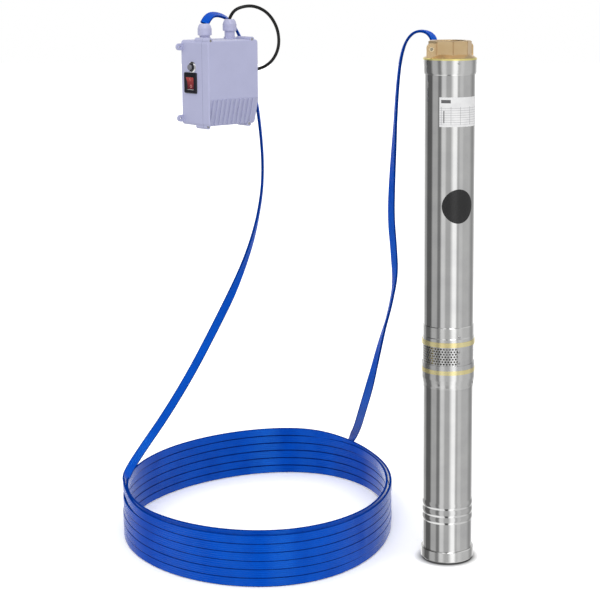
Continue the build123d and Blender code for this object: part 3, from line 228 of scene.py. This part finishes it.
class Nodes:
    """A short way to write a node tree."""

    def __init__(self, tree):
        self.tree = tree

    def add(self, kind, inputs=None, **settings):
        node = self.tree.nodes.new(kind)
        for name, value in settings.items():
            setattr(node, name, value)
        for name, value in (inputs or {}).items():
            self.feed(node.inputs[name], value)
        return node

    def feed(self, socket, value):
        if isinstance(value, bpy.types.NodeSocket):
            self.tree.links.new(value, socket)
        else:
            socket.default_value = value

    def math(self, operation, first, second=0.0, third=0.0):
        node = self.add("ShaderNodeMath", operation=operation)
        for socket, value in zip(node.inputs, (first, second, third)):
            self.feed(socket, value)
        return node.outputs[0]

    def noise(self, vector, scale, detail=3.0, roughness=0.5):
        inputs = {"Vector": vector, "Scale": scale, "Detail": detail, "Roughness": roughness}
        return self.add("ShaderNodeTexNoise", inputs).outputs["Fac"]

    def stretched(self, vector, scale):
        node = self.add("ShaderNodeMapping", {"Vector": vector})
        node.inputs["Scale"].default_value = scale
        return node.outputs[0]

    def blend(self, share, first, second):
        node = self.add("ShaderNodeMix", data_type="RGBA")
        self.feed(node.inputs[0], share)
        self.feed(node.inputs[6], first)
        self.feed(node.inputs[7], second)
        return node.outputs[2]

    def within(self, value, low, high):
        """1 between two values, 0 outside them."""
        over = self.math("GREATER_THAN", value, low)
        return self.math("MULTIPLY", over, self.math("LESS_THAN", value, high))

    def long_side(self, first, second):
        """The long side of a right triangle with these two legs."""
        squares = [self.math("MULTIPLY", leg, leg) for leg in (first, second)]
        return self.math("POWER", self.math("ADD", *squares), 0.5)

    def box_axes(self, place):
        """The place in the control box's own axes: across, into the depth and up, in millimetres."""
        node = self.add("ShaderNodeMapping", {"Vector": place}, vector_type="TEXTURE")
        node.inputs["Location"].default_value = BOX_PLACE
        node.inputs["Rotation"].default_value = (0, 0, BOX_YAW)
        node.inputs["Scale"].default_value = (MM, MM, MM)
        parts = self.add("ShaderNodeSeparateXYZ", {"Vector": node.outputs[0]})
        return parts.outputs["X"], parts.outputs["Y"], parts.outputs["Z"]

    def spread(self, value, low, high, to_low, to_high):
        inputs = {"Value": value, "From Min": low, "From Max": high, "To Min": to_low, "To Max": to_high}
        return self.add("ShaderNodeMapRange", inputs).outputs[0]

    def bump(self, height, strength, distance):
        inputs = {"Height": height, "Strength": strength, "Distance": distance}
        return self.add("ShaderNodeBump", inputs).outputs[0]


def linear(red, green, blue):
    """An sRGB colour, 0 to 255, as a node colour."""
    channels = [c / 255 for c in (red, green, blue)]
    return (*[c / 12.92 if c < 0.04045 else ((c + 0.055) / 1.055) ** 2.4 for c in channels], 1.0)


def plain(level):
    """A grey of this level as a node colour."""
    return (level, level, level, 1.0)


def blank_material(name):
    material = bpy.data.materials.new(name)
    material.use_nodes = True
    material.node_tree.nodes.clear()
    return material, Nodes(material.node_tree)


def new_material(name, **sockets):
    material, nodes = blank_material(name)
    shader = nodes.add("ShaderNodeBsdfPrincipled")
    for socket, value in sockets.items():
        shader.inputs[socket.replace("_", " ")].default_value = value
    out = nodes.add("ShaderNodeOutputMaterial")
    nodes.feed(out.inputs[0], shader.outputs[0])
    place = nodes.add("ShaderNodeTexCoord").outputs["Object"]
    return material, nodes, shader, place


def opened(material):
    """A finished material's nodes, to add to: with its shader, its colour so far and the place."""
    nodes = Nodes(material.node_tree)
    shader = next(n for n in material.node_tree.nodes if n.type == "BSDF_PRINCIPLED")
    colour = shader.inputs["Base Color"].links[0].from_socket
    place = nodes.add("ShaderNodeTexCoord").outputs["Object"]
    return nodes, shader, colour, place


def metal(name, colour, dark, rough, streak, streak_scale, grain=0.05, metallic=1.0):
    """A metal whose colour and gloss vary along fine tool marks; streak_scale sets their direction."""
    material, nodes, shader, place = new_material(name, Metallic=metallic)
    marks = nodes.noise(nodes.stretched(place, streak_scale), 1.0, 4.0, 0.6)
    cloud = nodes.noise(place, 28.0, 2.0)
    tint = nodes.blend(nodes.spread(cloud, 0.3, 0.7, 0, 1), linear(*dark), linear(*colour))
    nodes.feed(shader.inputs["Base Color"], tint)
    nodes.feed(shader.inputs["Roughness"], nodes.spread(marks, 0.2, 0.8, rough - streak, rough + streak))
    nodes.feed(shader.inputs["Normal"], nodes.bump(marks, grain, 0.0002))
    return material


def plastic(name, colour, other, rough, grain_scale=1400.0, grain=0.12, depth=0.0002, **sockets):
    """A moulded plastic with a fine even grain and faint clouds in its colour."""
    material, nodes, shader, place = new_material(name, **sockets)
    cloud = nodes.noise(place, 22.0, 3.0)
    fine = nodes.noise(place, grain_scale, 2.0)
    tint = nodes.blend(nodes.spread(cloud, 0.35, 0.65, 0, 1), linear(*other), linear(*colour))
    nodes.feed(shader.inputs["Base Color"], tint)
    nodes.feed(shader.inputs["Roughness"], nodes.spread(fine, 0.3, 0.7, rough - 0.04, rough + 0.04))
    nodes.feed(shader.inputs["Normal"], nodes.bump(fine, grain, depth))
    return material


def plate_material():
    """Silver-white label with an empty header, a dark bar beside it and ruled fields."""
    material, nodes, shader, place = new_material("label_silver", Roughness=0.30, Metallic=0.0)
    parts = nodes.add("ShaderNodeSeparateXYZ", {"Vector": place})
    level = nodes.math("MULTIPLY", parts.outputs["Z"], 1 / MM)
    across = nodes.math("MULTIPLY", parts.outputs["X"], 1 / MM)
    rows = nodes.math("FRACT", nodes.math("MULTIPLY", level, 1 / LABEL_ROW))
    line = nodes.math("LESS_THAN", rows, LABEL_ROW_LINE)
    ruled = nodes.math("MULTIPLY", nodes.within(level, *LABEL_RULED), line)
    cells = nodes.math("FRACT", nodes.math("MULTIPLY", across, 1 / LABEL_CELL))
    upright = nodes.math("LESS_THAN", cells, LABEL_CELL_LINE)
    post = nodes.math("MULTIPLY", nodes.within(level, *LABEL_RULED), upright)
    marks = nodes.math("MAXIMUM", ruled, post)
    bar = nodes.math("MULTIPLY", nodes.within(level, *LABEL_BAR_Z), nodes.within(across, *LABEL_BAR_X))
    thick = nodes.math("MULTIPLY", nodes.within(level, *LABEL_POST_Z), nodes.within(across, *LABEL_POST_X))
    sheen = nodes.spread(nodes.noise(place, 60.0), 0.3, 0.7, 0, 1)
    paper = nodes.blend(sheen, linear(222, 222, 223), linear(236, 236, 236))
    lined = nodes.blend(marks, paper, linear(176, 176, 178))
    dark = nodes.math("MAXIMUM", bar, thick)
    nodes.feed(shader.inputs["Base Color"], nodes.blend(dark, lined, linear(96, 96, 98)))
    return material


def brass_material():
    """Cast brass, with a painted highlight on the turned top edge of the flange and round the eye, and
    painted shade in the octagon's corners.
    """
    material = metal("brass_cast", BRASS, BRASS_DARK, 0.32, 0.06, (700, 700, 700), 0.22, 0.80)
    nodes, shader, colour, place = opened(material)
    parts = nodes.add("ShaderNodeSeparateXYZ", {"Vector": place})
    east, north, level = [parts.outputs[axis] for axis in "XYZ"]
    radius = nodes.long_side(east, north)
    eighths = nodes.math("MULTIPLY", nodes.math("ARCTAN2", north, east), 4 / pi)
    eighths = nodes.math("FRACT", nodes.math("ADD", eighths, CORNER_TURN))
    # Painted shade darkening the octagon's corners on the upper, outer part of the head
    from_corner = nodes.math("ABSOLUTE", nodes.math("SUBTRACT", eighths, 0.5))
    painted_corner_shade = nodes.spread(from_corner, 0.0, CORNER_HALF, CORNER_SHADE, 0.0)
    upper = nodes.within(level, CORNER_FROM_Z, 1.0)
    outer = nodes.math("GREATER_THAN", radius, CORNER_FROM_R)
    painted_corner_shade = nodes.math("MULTIPLY", painted_corner_shade, nodes.math("MULTIPLY", upper, outer))
    shaded = nodes.blend(painted_corner_shade, colour, linear(160, 112, 70))
    # Painted highlight round the rope eye, on the head's front side
    east_of = nodes.math("ABSOLUTE", nodes.math("SUBTRACT", east, EYE_PLACE[0]))
    above = nodes.math("ABSOLUTE", nodes.math("SUBTRACT", level, EYE_PLACE[1]))
    near_eye = nodes.math("LESS_THAN", nodes.long_side(east_of, above), EYE_HIGHLIGHT_R)
    eye_highlight = nodes.math("MULTIPLY", near_eye, nodes.math("LESS_THAN", north, 0.0))
    shaded = nodes.blend(eye_highlight, shaded, linear(255, 240, 205))
    # Painted highlight along the flange's turned top edge, outside the tube
    turned = nodes.within(level, HEAD_BASE, HEAD_BASE + FLANGE_HIGHLIGHT_HEIGHT)
    edge = nodes.math("MULTIPLY", turned, nodes.math("GREATER_THAN", radius, TUBE_R))
    nodes.feed(shader.inputs["Base Color"], nodes.blend(edge, shaded, linear(246, 234, 150)))
    return material


def box_material():
    """The moulded housing, with the shadow line where its cover meets its base."""
    material = plastic("box_plastic", LILAC, LILAC_DARK, 0.42, 1300.0, 0.16)
    nodes, shader, colour, place = opened(material)
    seam = nodes.within(nodes.box_axes(place)[1], *BOX_SEAM)
    nodes.feed(shader.inputs["Base Color"], nodes.blend(seam, colour, linear(132, 134, 168)))
    return material


def rocker_material():
    """Clear red rocker, painted lighter at its upper half and darker below as light and shade, with the
    usual line and ring of such a switch.
    """
    material, nodes, shader, place = new_material("rocker_red", Roughness=0.16, Coat_Weight=0.5)
    depth, level = nodes.box_axes(place)[1:]
    # Painted light and shade: the rocker's red turns from dark at its foot to light at its top
    lit = nodes.spread(level, *ROCKER_LIT, 0, 1)
    red = nodes.blend(lit, linear(104, 24, 40), linear(176, 68, 66))
    side = nodes.math("ABSOLUTE", nodes.math("SUBTRACT", depth, SWITCH_W))
    narrow = nodes.math("LESS_THAN", side, ROCKER_LINE_HALF)
    line = nodes.math("MULTIPLY", narrow, nodes.within(level, *ROCKER_LINE))
    radius = nodes.long_side(side, nodes.math("SUBTRACT", level, ROCKER_RING_Z))
    mark = nodes.math("MAXIMUM", line, nodes.within(radius, *ROCKER_RING_R))
    nodes.feed(shader.inputs["Base Color"], nodes.blend(mark, red, linear(222, 150, 140)))
    return material


def plug_material():
    """Black moulded plug whose two pins are plated brass."""
    material = plastic("plug_black", (24, 24, 25), (18, 18, 19), 0.40, 800.0, 0.1)
    nodes, shader, colour, place = opened(material)
    pin = nodes.math("GREATER_THAN", nodes.box_axes(place)[0], PIN_FROM_U)
    nodes.feed(shader.inputs["Base Color"], nodes.blend(pin, colour, linear(206, 204, 200)))
    nodes.feed(shader.inputs["Metallic"], pin)
    return material


# Colours in sRGB, 0 to 255
STEEL = (218, 218, 217)
STEEL_DARK = (208, 208, 208)
BRASS = (226, 200, 158)
BRASS_DARK = (214, 184, 138)
LILAC = (180, 182, 213)
LILAC_DARK = (176, 178, 209)
BLUE = (0, 78, 198)
BLUE_DARK = (0, 70, 186)

MATERIALS = {
    "tube": metal("steel_polished", STEEL, STEEL_DARK, 0.08, 0.03, (900, 900, 6), 0.02),
    "turned": metal("steel_turned", (226, 226, 225), STEEL, 0.15, 0.04, (60, 60, 2600), 0.06),
    "pressed": metal("steel_pressed", STEEL, STEEL_DARK, 0.20, 0.05, (300, 300, 300), 0.08),
    "fastener": metal("steel_fastener", (196, 196, 196), (180, 180, 180), 0.22, 0.05, (800, 800, 800)),
    "chrome": metal("chrome", (226, 226, 228), (220, 220, 222), 0.06, 0.02, (500, 500, 500), 0.02),
    "brass": brass_material(),
    "ring": metal("brass_turned", (244, 232, 176), (236, 220, 160), 0.20, 0.05, (50, 50, 2400), 0.08, 0.8),
    "shaft": metal("steel_ground", (200, 200, 202), (188, 188, 190), 0.20, 0.05, (40, 40, 3000)),
    "iron": metal("cast_iron", (96, 98, 100), (78, 80, 82), 0.55, 0.08, (500, 500, 500), 0.5),
    "laminations": metal("laminations", (120, 122, 126), (98, 100, 104), 0.45, 0.08, (30, 30, 4000), 0.5),
    "aluminium": metal("aluminium", (206, 208, 210), (190, 192, 194), 0.38, 0.06, (500, 500, 500), 0.2),
    "copper": metal("copper_enamelled", (188, 98, 50), (160, 76, 36), 0.28, 0.06, (40, 40, 1500), 0.5),
    "carbon": plastic("carbon", (40, 41, 43), (32, 33, 35), 0.45),
    "rubber": plastic("rubber_black", (28, 28, 29), (22, 22, 23), 0.62, 900.0, 0.3),
    "stage": plastic("stage_plastic", (238, 236, 228), (230, 228, 219), 0.40),
    "impeller": plastic("impeller_plastic", (124, 125, 127), (116, 117, 119), 0.38),
    "can": plastic("capacitor_can", (237, 237, 235), (229, 229, 227), 0.36),
    "acetal": plastic("acetal", (232, 231, 224), (224, 223, 215), 0.34),
    "cable": plastic("cable_blue", BLUE, BLUE_DARK, 0.16, 500.0, 0.04, Specular_IOR_Level=0.6,
                     Specular_Tint=(0.1, 0.55, 1.0, 1.0)),
    # Darker blue without gloss for the cable's edge faces: painted shade in the seams between the coil's
    # turns
    "cable_edge_shade": plastic("cable_edge_shade", (6, 54, 142), (5, 48, 130), 0.6, 500.0, 0.04,
                          Specular_IOR_Level=0.0),
    "label": plate_material(),
    "sticker": plastic("sticker_black", (26, 26, 27), (21, 21, 22), 0.34, 1200.0, 0.05),
    "box": box_material(),
    "gland": plastic("gland_plastic", (184, 185, 214), (178, 179, 208), 0.36, 1300.0, 0.12),
    "black": plastic("black_plastic", (24, 22, 34), (20, 19, 28), 0.30),
    "button": plastic("button_grey", (128, 128, 136), (112, 112, 120), 0.26),
    "red": rocker_material(),
    "nylon": plastic("nylon", (222, 220, 208), (214, 212, 200), 0.40),
    "lead": plastic("lead_black", (9, 9, 10), (6, 6, 7), 0.40, 800.0, 0.1, Specular_IOR_Level=0.3),
    "plug": plug_material(),
}

FINISHES = {
    "tube": ["motor_tube", "pump_shell", "cable_guard"],
    "turned": ["end_cap", "motor_top_bell", "lower_collar", "top_collar"],
    "shaft": ["motor_shaft", "pump_shaft", "shaft_coupling", "thrust_pads", "seal_ring", "valve_spring"],
    "pressed": ["strainer_screen", "capacitor_clamp"],
    "fastener": ["flange_studs", "flange_nuts", "shaft_nut", "pump_screws", "cover_screws"],
    "chrome": ["breaker_nut"],
    "brass": ["discharge_head", "valve_guide"],
    "ring": ["suction_bracket"],
    "iron": ["lower_bracket"],
    "laminations": ["rotor_core", "stator_core"],
    "aluminium": ["rotor_cage"],
    "copper": ["windings"],
    "carbon": ["thrust_disc", "motor_bushes", "seal_seat"],
    "rubber": ["diaphragm", "sand_slinger", "top_bush", "valve_seat", "mains_tie"],
    "stage": ["bowls", "bearing_spider"],
    "impeller": ["impellers"],
    "acetal": ["valve_poppet"],
    "cable": ["motor_lead"],
    "label": ["rating_plate"],
    "sticker": ["round_sticker"],
    "box": ["box_base", "box_cover"],
    "gland": ["gland_bodies", "gland_nuts"],
    "black": ["switch_housing", "breaker_body"],
    "button": ["reset_button"],
    "can": ["capacitor"],
    "red": ["rocker"],
    "nylon": ["terminal_block"],
    "plug": ["mains_plug"],
}

# Nodes that, with the cables, don't show in the pump's polished steel, which mirrors the studio alone
UNMIRRORED = ["box_base", "box_cover", "gland_bodies", "gland_nuts", "switch_housing", "rocker",
              "mains_plug"]


def finish_nodes():
    for finish, names in FINISHES.items():
        for name in names:
            for slot in NODES[name].material_slots:
                slot.material = MATERIALS[finish]


# Cables

def spline_curve(name, points):
    curve = bpy.data.curves.new(name, "CURVE")
    curve.dimensions = "3D"
    spline = curve.splines.new("NURBS")
    spline.points.add(len(points) - 1)
    for knot, point in zip(spline.points, points):
        knot.co = (*point, 1.0)
    spline.order_u = 3
    spline.use_endpoint_u = True
    spline.resolution_u = 7
    piece = bpy.data.objects.new(name, curve)
    bpy.context.scene.collection.objects.link(piece)
    return piece


def spline_line(points):
    """Places read along the route's own smooth spline."""
    piece = spline_curve("route", points)
    mesh = bpy.data.meshes.new_from_object(piece)
    line = [v.co.copy() for v in mesh.vertices]
    bpy.data.objects.remove(piece)
    bpy.data.meshes.remove(mesh)
    return line


def coil_knots():
    """Turns of the flat cable, clockwise from above: it climbs a level on the right of each turn.

    The turn before the last runs inside the others over the front, and the last one lies on top.
    """
    count = round((COIL_FIRST - COIL_LAST) / 360 * COIL_STEPS)
    knots = []
    for i in range(1, count):
        angle = COIL_FIRST + (COIL_LAST - COIL_FIRST) * i / count
        east_share, north_share = cos(radians(angle)), sin(radians(angle))
        back_turns = (90 - angle) / 360
        turn = int(back_turns)
        past_back = (back_turns - turn) * 360
        climb = smooth_step(past_back, 35, 145)
        level = turn - 1 + climb if turn else 0.0
        inside = 0.0
        if turn == INNER_TURN:
            inside = smooth_step(past_back, 15, 50) - smooth_step(past_back, 262, 300)
            inside *= 0.5 + 0.5 * smooth_step(past_back, 105, 165) * (1 - smooth_step(past_back, 195, 250))
        elif turn > INNER_TURN:
            level = INNER_TURN - 1 + climb + (1 - climb) * (1 - smooth_step(past_back, 10, 55))
        level = min(level, TOP_LEVEL)
        wobble = 0.5 * sin(radians(2 * angle + 70 * turn)) + 0.3 * sin(radians(3 * angle + 130 * turn))
        shift = wobble * MM - inside * INNER_SHIFT
        lean = COIL_BACK_LEAN if north_share > 0 else COIL_FRONT_LEAN
        east = (COIL_RX + shift) * east_share * KNOT_STAND + lean * north_share ** 2
        north = (COIL_RY + shift) * north_share * KNOT_STAND
        height = (level + 0.5) * (LEVEL_PITCH + LEVEL_SWING * north_share) + LEVEL_FOOT
        height += inside * INNER_LIFT * smooth_step(-north_share, 0, 1)
        knots.append(COIL_MIDDLE + Vector((east, north, height)))
    return knots


def width_direction(before, after, angle):
    """Where the broad side points, at an angle from broad to the camera to edge on."""
    along = (after - before).normalized()
    across = Vector((along.z, 0, -along.x))
    if across.length < 0.3:
        across = Vector((0, 0, 1))
    across.normalize()
    deep = along.cross(across).normalized()
    return across * cos(radians(angle)) + deep * sin(radians(angle))


def free_knots(route):
    """Places and broad directions of a hanging stretch."""
    places = [Vector(p[:3]) * MM for p in route]
    directions = []
    for i, point in enumerate(route):
        before, after = places[max(i - 1, 0)], places[min(i + 1, len(places) - 1)]
        if point[2] < UPRIGHT_BELOW:
            directions.append(Vector((0, 0, 1)))
        else:
            directions.append(width_direction(before, after, point[3]))
    return places, directions


def flat_section():
    """Half outline of the flat cable: a lobe over each core and round ends, as width and height."""
    half, thick = CABLE_WIDTH / 2 + CABLE_SWELL, CABLE_THICK / 2
    lobe = 2 * (half - thick * 0.25) / CABLE_CORES
    points = []
    for i in range(CABLE_CORES * 4 + 1):
        across = -half + thick * 0.25 + lobe * i / 4
        phase = (i % 4) / 4
        groove = CABLE_GROOVE * (1 - (1 - (2 * phase - 1) ** 2) ** 0.5)
        end = min(1.0, (half - abs(across)) / (thick * 0.9))
        points.append((across, thick * (1 - groove) * (1 - (1 - end) ** 2) ** 0.5))
    return [(-half, 0.0), *points, (half, 0.0)]


def lofted_mesh(name, rings):
    """Rings of places joined to one closed mesh: first its sides, ring by ring, then its two ends."""
    size = len(rings[0])
    vertices = [place for ring in rings for place in ring]
    faces = []
    for i in range(len(rings) - 1):
        for j in range(size):
            k = (j + 1) % size
            faces.append((i * size + j, (i + 1) * size + j, (i + 1) * size + k, i * size + k))
    faces.append(tuple(range(size)))
    faces.append(tuple(reversed(range(len(vertices) - size, len(vertices)))))
    mesh = bpy.data.meshes.new(name)
    mesh.from_pydata(vertices, [], faces)
    mesh.update()
    return mesh


def flat_cable():
    top_places, top_ways = free_knots(PUMP_SIDE)
    rise_places, rise_ways = free_knots(RISER)
    coil = coil_knots()
    knots = top_places + coil + rise_places
    ways = top_ways + [Vector((0, 0, 1))] * len(coil) + rise_ways
    for i in range(1, len(ways)):
        if ways[i].dot(ways[i - 1]) < 0:
            ways[i] = -ways[i]
    line = spline_line(knots)
    upper = flat_section()
    section = upper + [(a, -b) for a, b in reversed(upper[1:-1])]
    rings = []
    for i, place in enumerate(line):
        share = i / (len(line) - 1) * (len(knots) - 1)
        low = min(int(share), len(knots) - 2)
        way = ways[low].lerp(ways[low + 1], share - low)
        along = (line[min(i + 1, len(line) - 1)] - line[max(i - 1, 0)]).normalized()
        way = (way - along * way.dot(along)).normalized()
        through = along.cross(way)
        rings.append([place + way * a + through * b for a, b in section])
    mesh = lofted_mesh("flat_cable", rings)
    size = len(section)
    last = len(upper) - 2
    # The edge faces take the second finish, painted darker as shade between the coil's turns
    edges = {0, 1, last - 1, last, last + 1, last + 2, size - 2, size - 1}
    for i, polygon in enumerate(mesh.polygons):
        polygon.use_smooth = len(polygon.vertices) == 4
        polygon.material_index = int(i % size in edges)
    piece = bpy.data.objects.new("flat_cable", mesh)
    bpy.context.scene.collection.objects.link(piece)
    mesh.materials.append(MATERIALS["cable"])
    mesh.materials.append(MATERIALS["cable_edge_shade"])
    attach(piece, "root")
    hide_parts("cable_pump_side", "cable_coil", "cable_riser")
    return piece


def stepped(value, turned, steps):
    return value + sum(change * smooth_step(turned, start, end) for start, end, change in steps)


def hank_knots():
    """Turns of the put-away mains lead, behind the box."""
    stand = 1 / cos(radians((HANK_LAST - HANK_FIRST) / HANK_KNOTS / 2))
    knots = []
    for i in range(1, HANK_KNOTS + 1):
        angle = HANK_FIRST + (HANK_LAST - HANK_FIRST) * i / HANK_KNOTS
        turned = (angle - HANK_FIRST) / 360
        depth = stepped(HANK_DEPTH, turned, HANK_DEPTH_STEPS)
        radius = stepped(HANK_R, turned, HANK_R_STEPS) * stand
        u = HANK_MIDDLE[0] + radius * cos(radians(angle))
        z = HANK_MIDDLE[1] + radius * sin(radians(angle))
        knots.append(box_point(u, depth, z))
    return knots


def mains_lead():
    knots = [Vector(p) * MM for p in MAINS] + hank_knots() + [box_point(*PLUG_ENTRY)]
    piece = spline_curve("mains_cord", knots)
    piece.data.bevel_depth = MAINS_R
    piece.data.bevel_resolution = 5
    piece.data.use_fill_caps = True
    piece.data.materials.append(MATERIALS["lead"])
    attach(piece, "root")
    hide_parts("mains_lead", "mains_coil")
    return piece


def head_collar():
    """The collar under the pump's head, its side plain where the solid has a groove, open for the lead."""
    profile = [(TUBE_R, COLLAR_BASE), (TUBE_R + COLLAR_LIP, COLLAR_BASE),
               (COLLAR_R, COLLAR_BASE + COLLAR_TAPER), (COLLAR_R, HEAD_BASE), (TUBE_R, HEAD_BASE)]
    rings = []
    for i in range(COLLAR_STEPS + 1):
        angle = radians(LEAD_AZIMUTH + LEAD_HALF + (360 - 2 * LEAD_HALF) * i / COLLAR_STEPS)
        rings.append([(r * cos(angle), r * sin(angle), z) for r, z in profile])
    mesh = lofted_mesh("head_collar", rings)
    mesh.shade_smooth()
    mesh.set_sharp_from_angle(angle=radians(30))
    piece = bpy.data.objects.new("head_collar", mesh)
    bpy.context.scene.collection.objects.link(piece)
    mesh.materials.append(MATERIALS["turned"])
    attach(piece, "root")
    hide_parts("top_collar")


# Stage

def floor():
    """A pale floor that the camera sees as white, with the object's soft shadow on it and a painted
    contact shadow round the pump's foot.
    """
    half = FLOOR_SIZE / 2
    mesh = bpy.data.meshes.new("floor")
    corners = [(-half, -half, 0), (half, -half, 0), (half, half, 0), (-half, half, 0)]
    mesh.from_pydata(corners, [], [(0, 1, 2, 3)])
    piece = bpy.data.objects.new("floor", mesh)
    piece.location.z = -FLOOR_DROP
    bpy.context.scene.collection.objects.link(piece)
    material, nodes = blank_material("floor")
    rays = nodes.add("ShaderNodeLightPath")
    seen = nodes.math("MAXIMUM", rays.outputs["Is Camera Ray"], rays.outputs["Is Transmission Ray"])
    seen = nodes.math("MAXIMUM", seen, rays.outputs["Is Glossy Ray"])
    strength = nodes.math("MULTIPLY", seen, FLOOR_GLOW)
    glow = nodes.add("ShaderNodeEmission", {"Color": (1, 1, 1, 1), "Strength": strength})
    place = nodes.add("ShaderNodeTexCoord").outputs["Object"]
    # Painted contact shadow: the floor the camera sees turns grey near the pump's foot
    distance = nodes.add("ShaderNodeVectorMath", {0: place, 1: CONTACT_MIDDLE}, operation="DISTANCE")
    contact = nodes.spread(distance.outputs["Value"], *CONTACT_FADE, 0.0, 1.0)
    contact = nodes.math("POWER", contact, CONTACT_FALL)
    seen_grey = nodes.blend(contact, plain(CONTACT_GREY), plain(FLOOR_SEEN))
    paint = nodes.add("ShaderNodeBsdfDiffuse", {"Color": nodes.blend(seen, plain(FLOOR_GREY), seen_grey)})
    both = nodes.add("ShaderNodeAddShader")
    nodes.feed(both.inputs[0], glow.outputs[0])
    nodes.feed(both.inputs[1], paint.outputs[0])
    out = nodes.add("ShaderNodeOutputMaterial")
    nodes.feed(out.inputs[0], both.outputs[0])
    mesh.materials.append(material)
    piece.visible_glossy = False


def card_row(nodes, share, cards):
    ramp = nodes.add("ShaderNodeValToRGB", {"Fac": share})
    stops = ramp.color_ramp.elements
    wanted = [(edge, level) for start, end, level in cards for edge in (start, end)]
    while len(stops) < len(wanted):
        stops.new(0.5)
    for stop, (edge, level) in zip(stops, wanted):
        stop.position = (edge + 180) / 360
        stop.color = plain(level)
    return ramp.outputs["Color"]


def studio():
    """White behind the object, an even dome on it, and the cards that its metal reflects."""
    world = bpy.data.worlds.new("studio")
    world.use_nodes = True
    bpy.context.scene.world = world
    world.node_tree.nodes.clear()
    nodes = Nodes(world.node_tree)
    way = nodes.add("ShaderNodeTexCoord").outputs["Generated"]
    parts = nodes.add("ShaderNodeSeparateXYZ", {"Vector": way})
    toward = nodes.math("MULTIPLY", parts.outputs["Y"], -1.0)
    bearing = nodes.math("ARCTAN2", parts.outputs["X"], toward)
    share = nodes.spread(bearing, -pi, pi, 0.0, 1.0)
    flat = nodes.long_side(parts.outputs["X"], parts.outputs["Y"])
    rise = nodes.math("ARCTAN2", parts.outputs["Z"], flat)
    high = nodes.spread(rise, *[radians(a) for a in HIGH_BLEND], 0.0, 1.0)
    low = nodes.spread(rise, *[radians(-a) for a in LOW_BLEND], 0.0, 1.0)
    cards = nodes.blend(high, card_row(nodes, share, CARDS), card_row(nodes, share, HIGH_CARDS))
    cards = nodes.blend(low, cards, card_row(nodes, share, LOW_CARDS))
    rays = nodes.add("ShaderNodeLightPath")
    lit = nodes.blend(rays.outputs["Is Glossy Ray"], plain(DOME_LEVEL), cards)
    seen = nodes.math("MAXIMUM", rays.outputs["Is Camera Ray"], rays.outputs["Is Transmission Ray"])
    back = nodes.add("ShaderNodeBackground", {"Color": nodes.blend(seen, lit, plain(1.0))})
    out = nodes.add("ShaderNodeOutputWorld")
    nodes.feed(out.inputs[0], back.outputs[0])


def sun():
    lamp = bpy.data.lights.new("sun", "SUN")
    lamp.energy = SUN_LEVEL
    lamp.angle = radians(SUN_ANGLE)
    piece = bpy.data.objects.new("sun", lamp)
    piece.rotation_euler = [radians(a) for a in SUN_TURN]
    piece.visible_glossy = False
    bpy.context.scene.collection.objects.link(piece)


def camera():
    data = bpy.data.cameras.new("camera")
    data.sensor_width = 36
    data.lens = CAMERA_LENS
    data.shift_x, data.shift_y = CAMERA_SHIFT
    data.clip_end = 60
    piece = bpy.data.objects.new("camera", data)
    piece.location = CAMERA_PLACE
    piece.rotation_euler = (radians(CAMERA_TILT), 0, 0)
    bpy.context.scene.collection.objects.link(piece)
    bpy.context.scene.camera = piece


finish_nodes()
for unmirrored in (flat_cable(), mains_lead(), *[NODES[name] for name in UNMIRRORED]):
    unmirrored.visible_glossy = False
head_collar()
floor()
studio()
sun()
camera()
bpy.context.scene.view_settings.view_transform = "Standard"
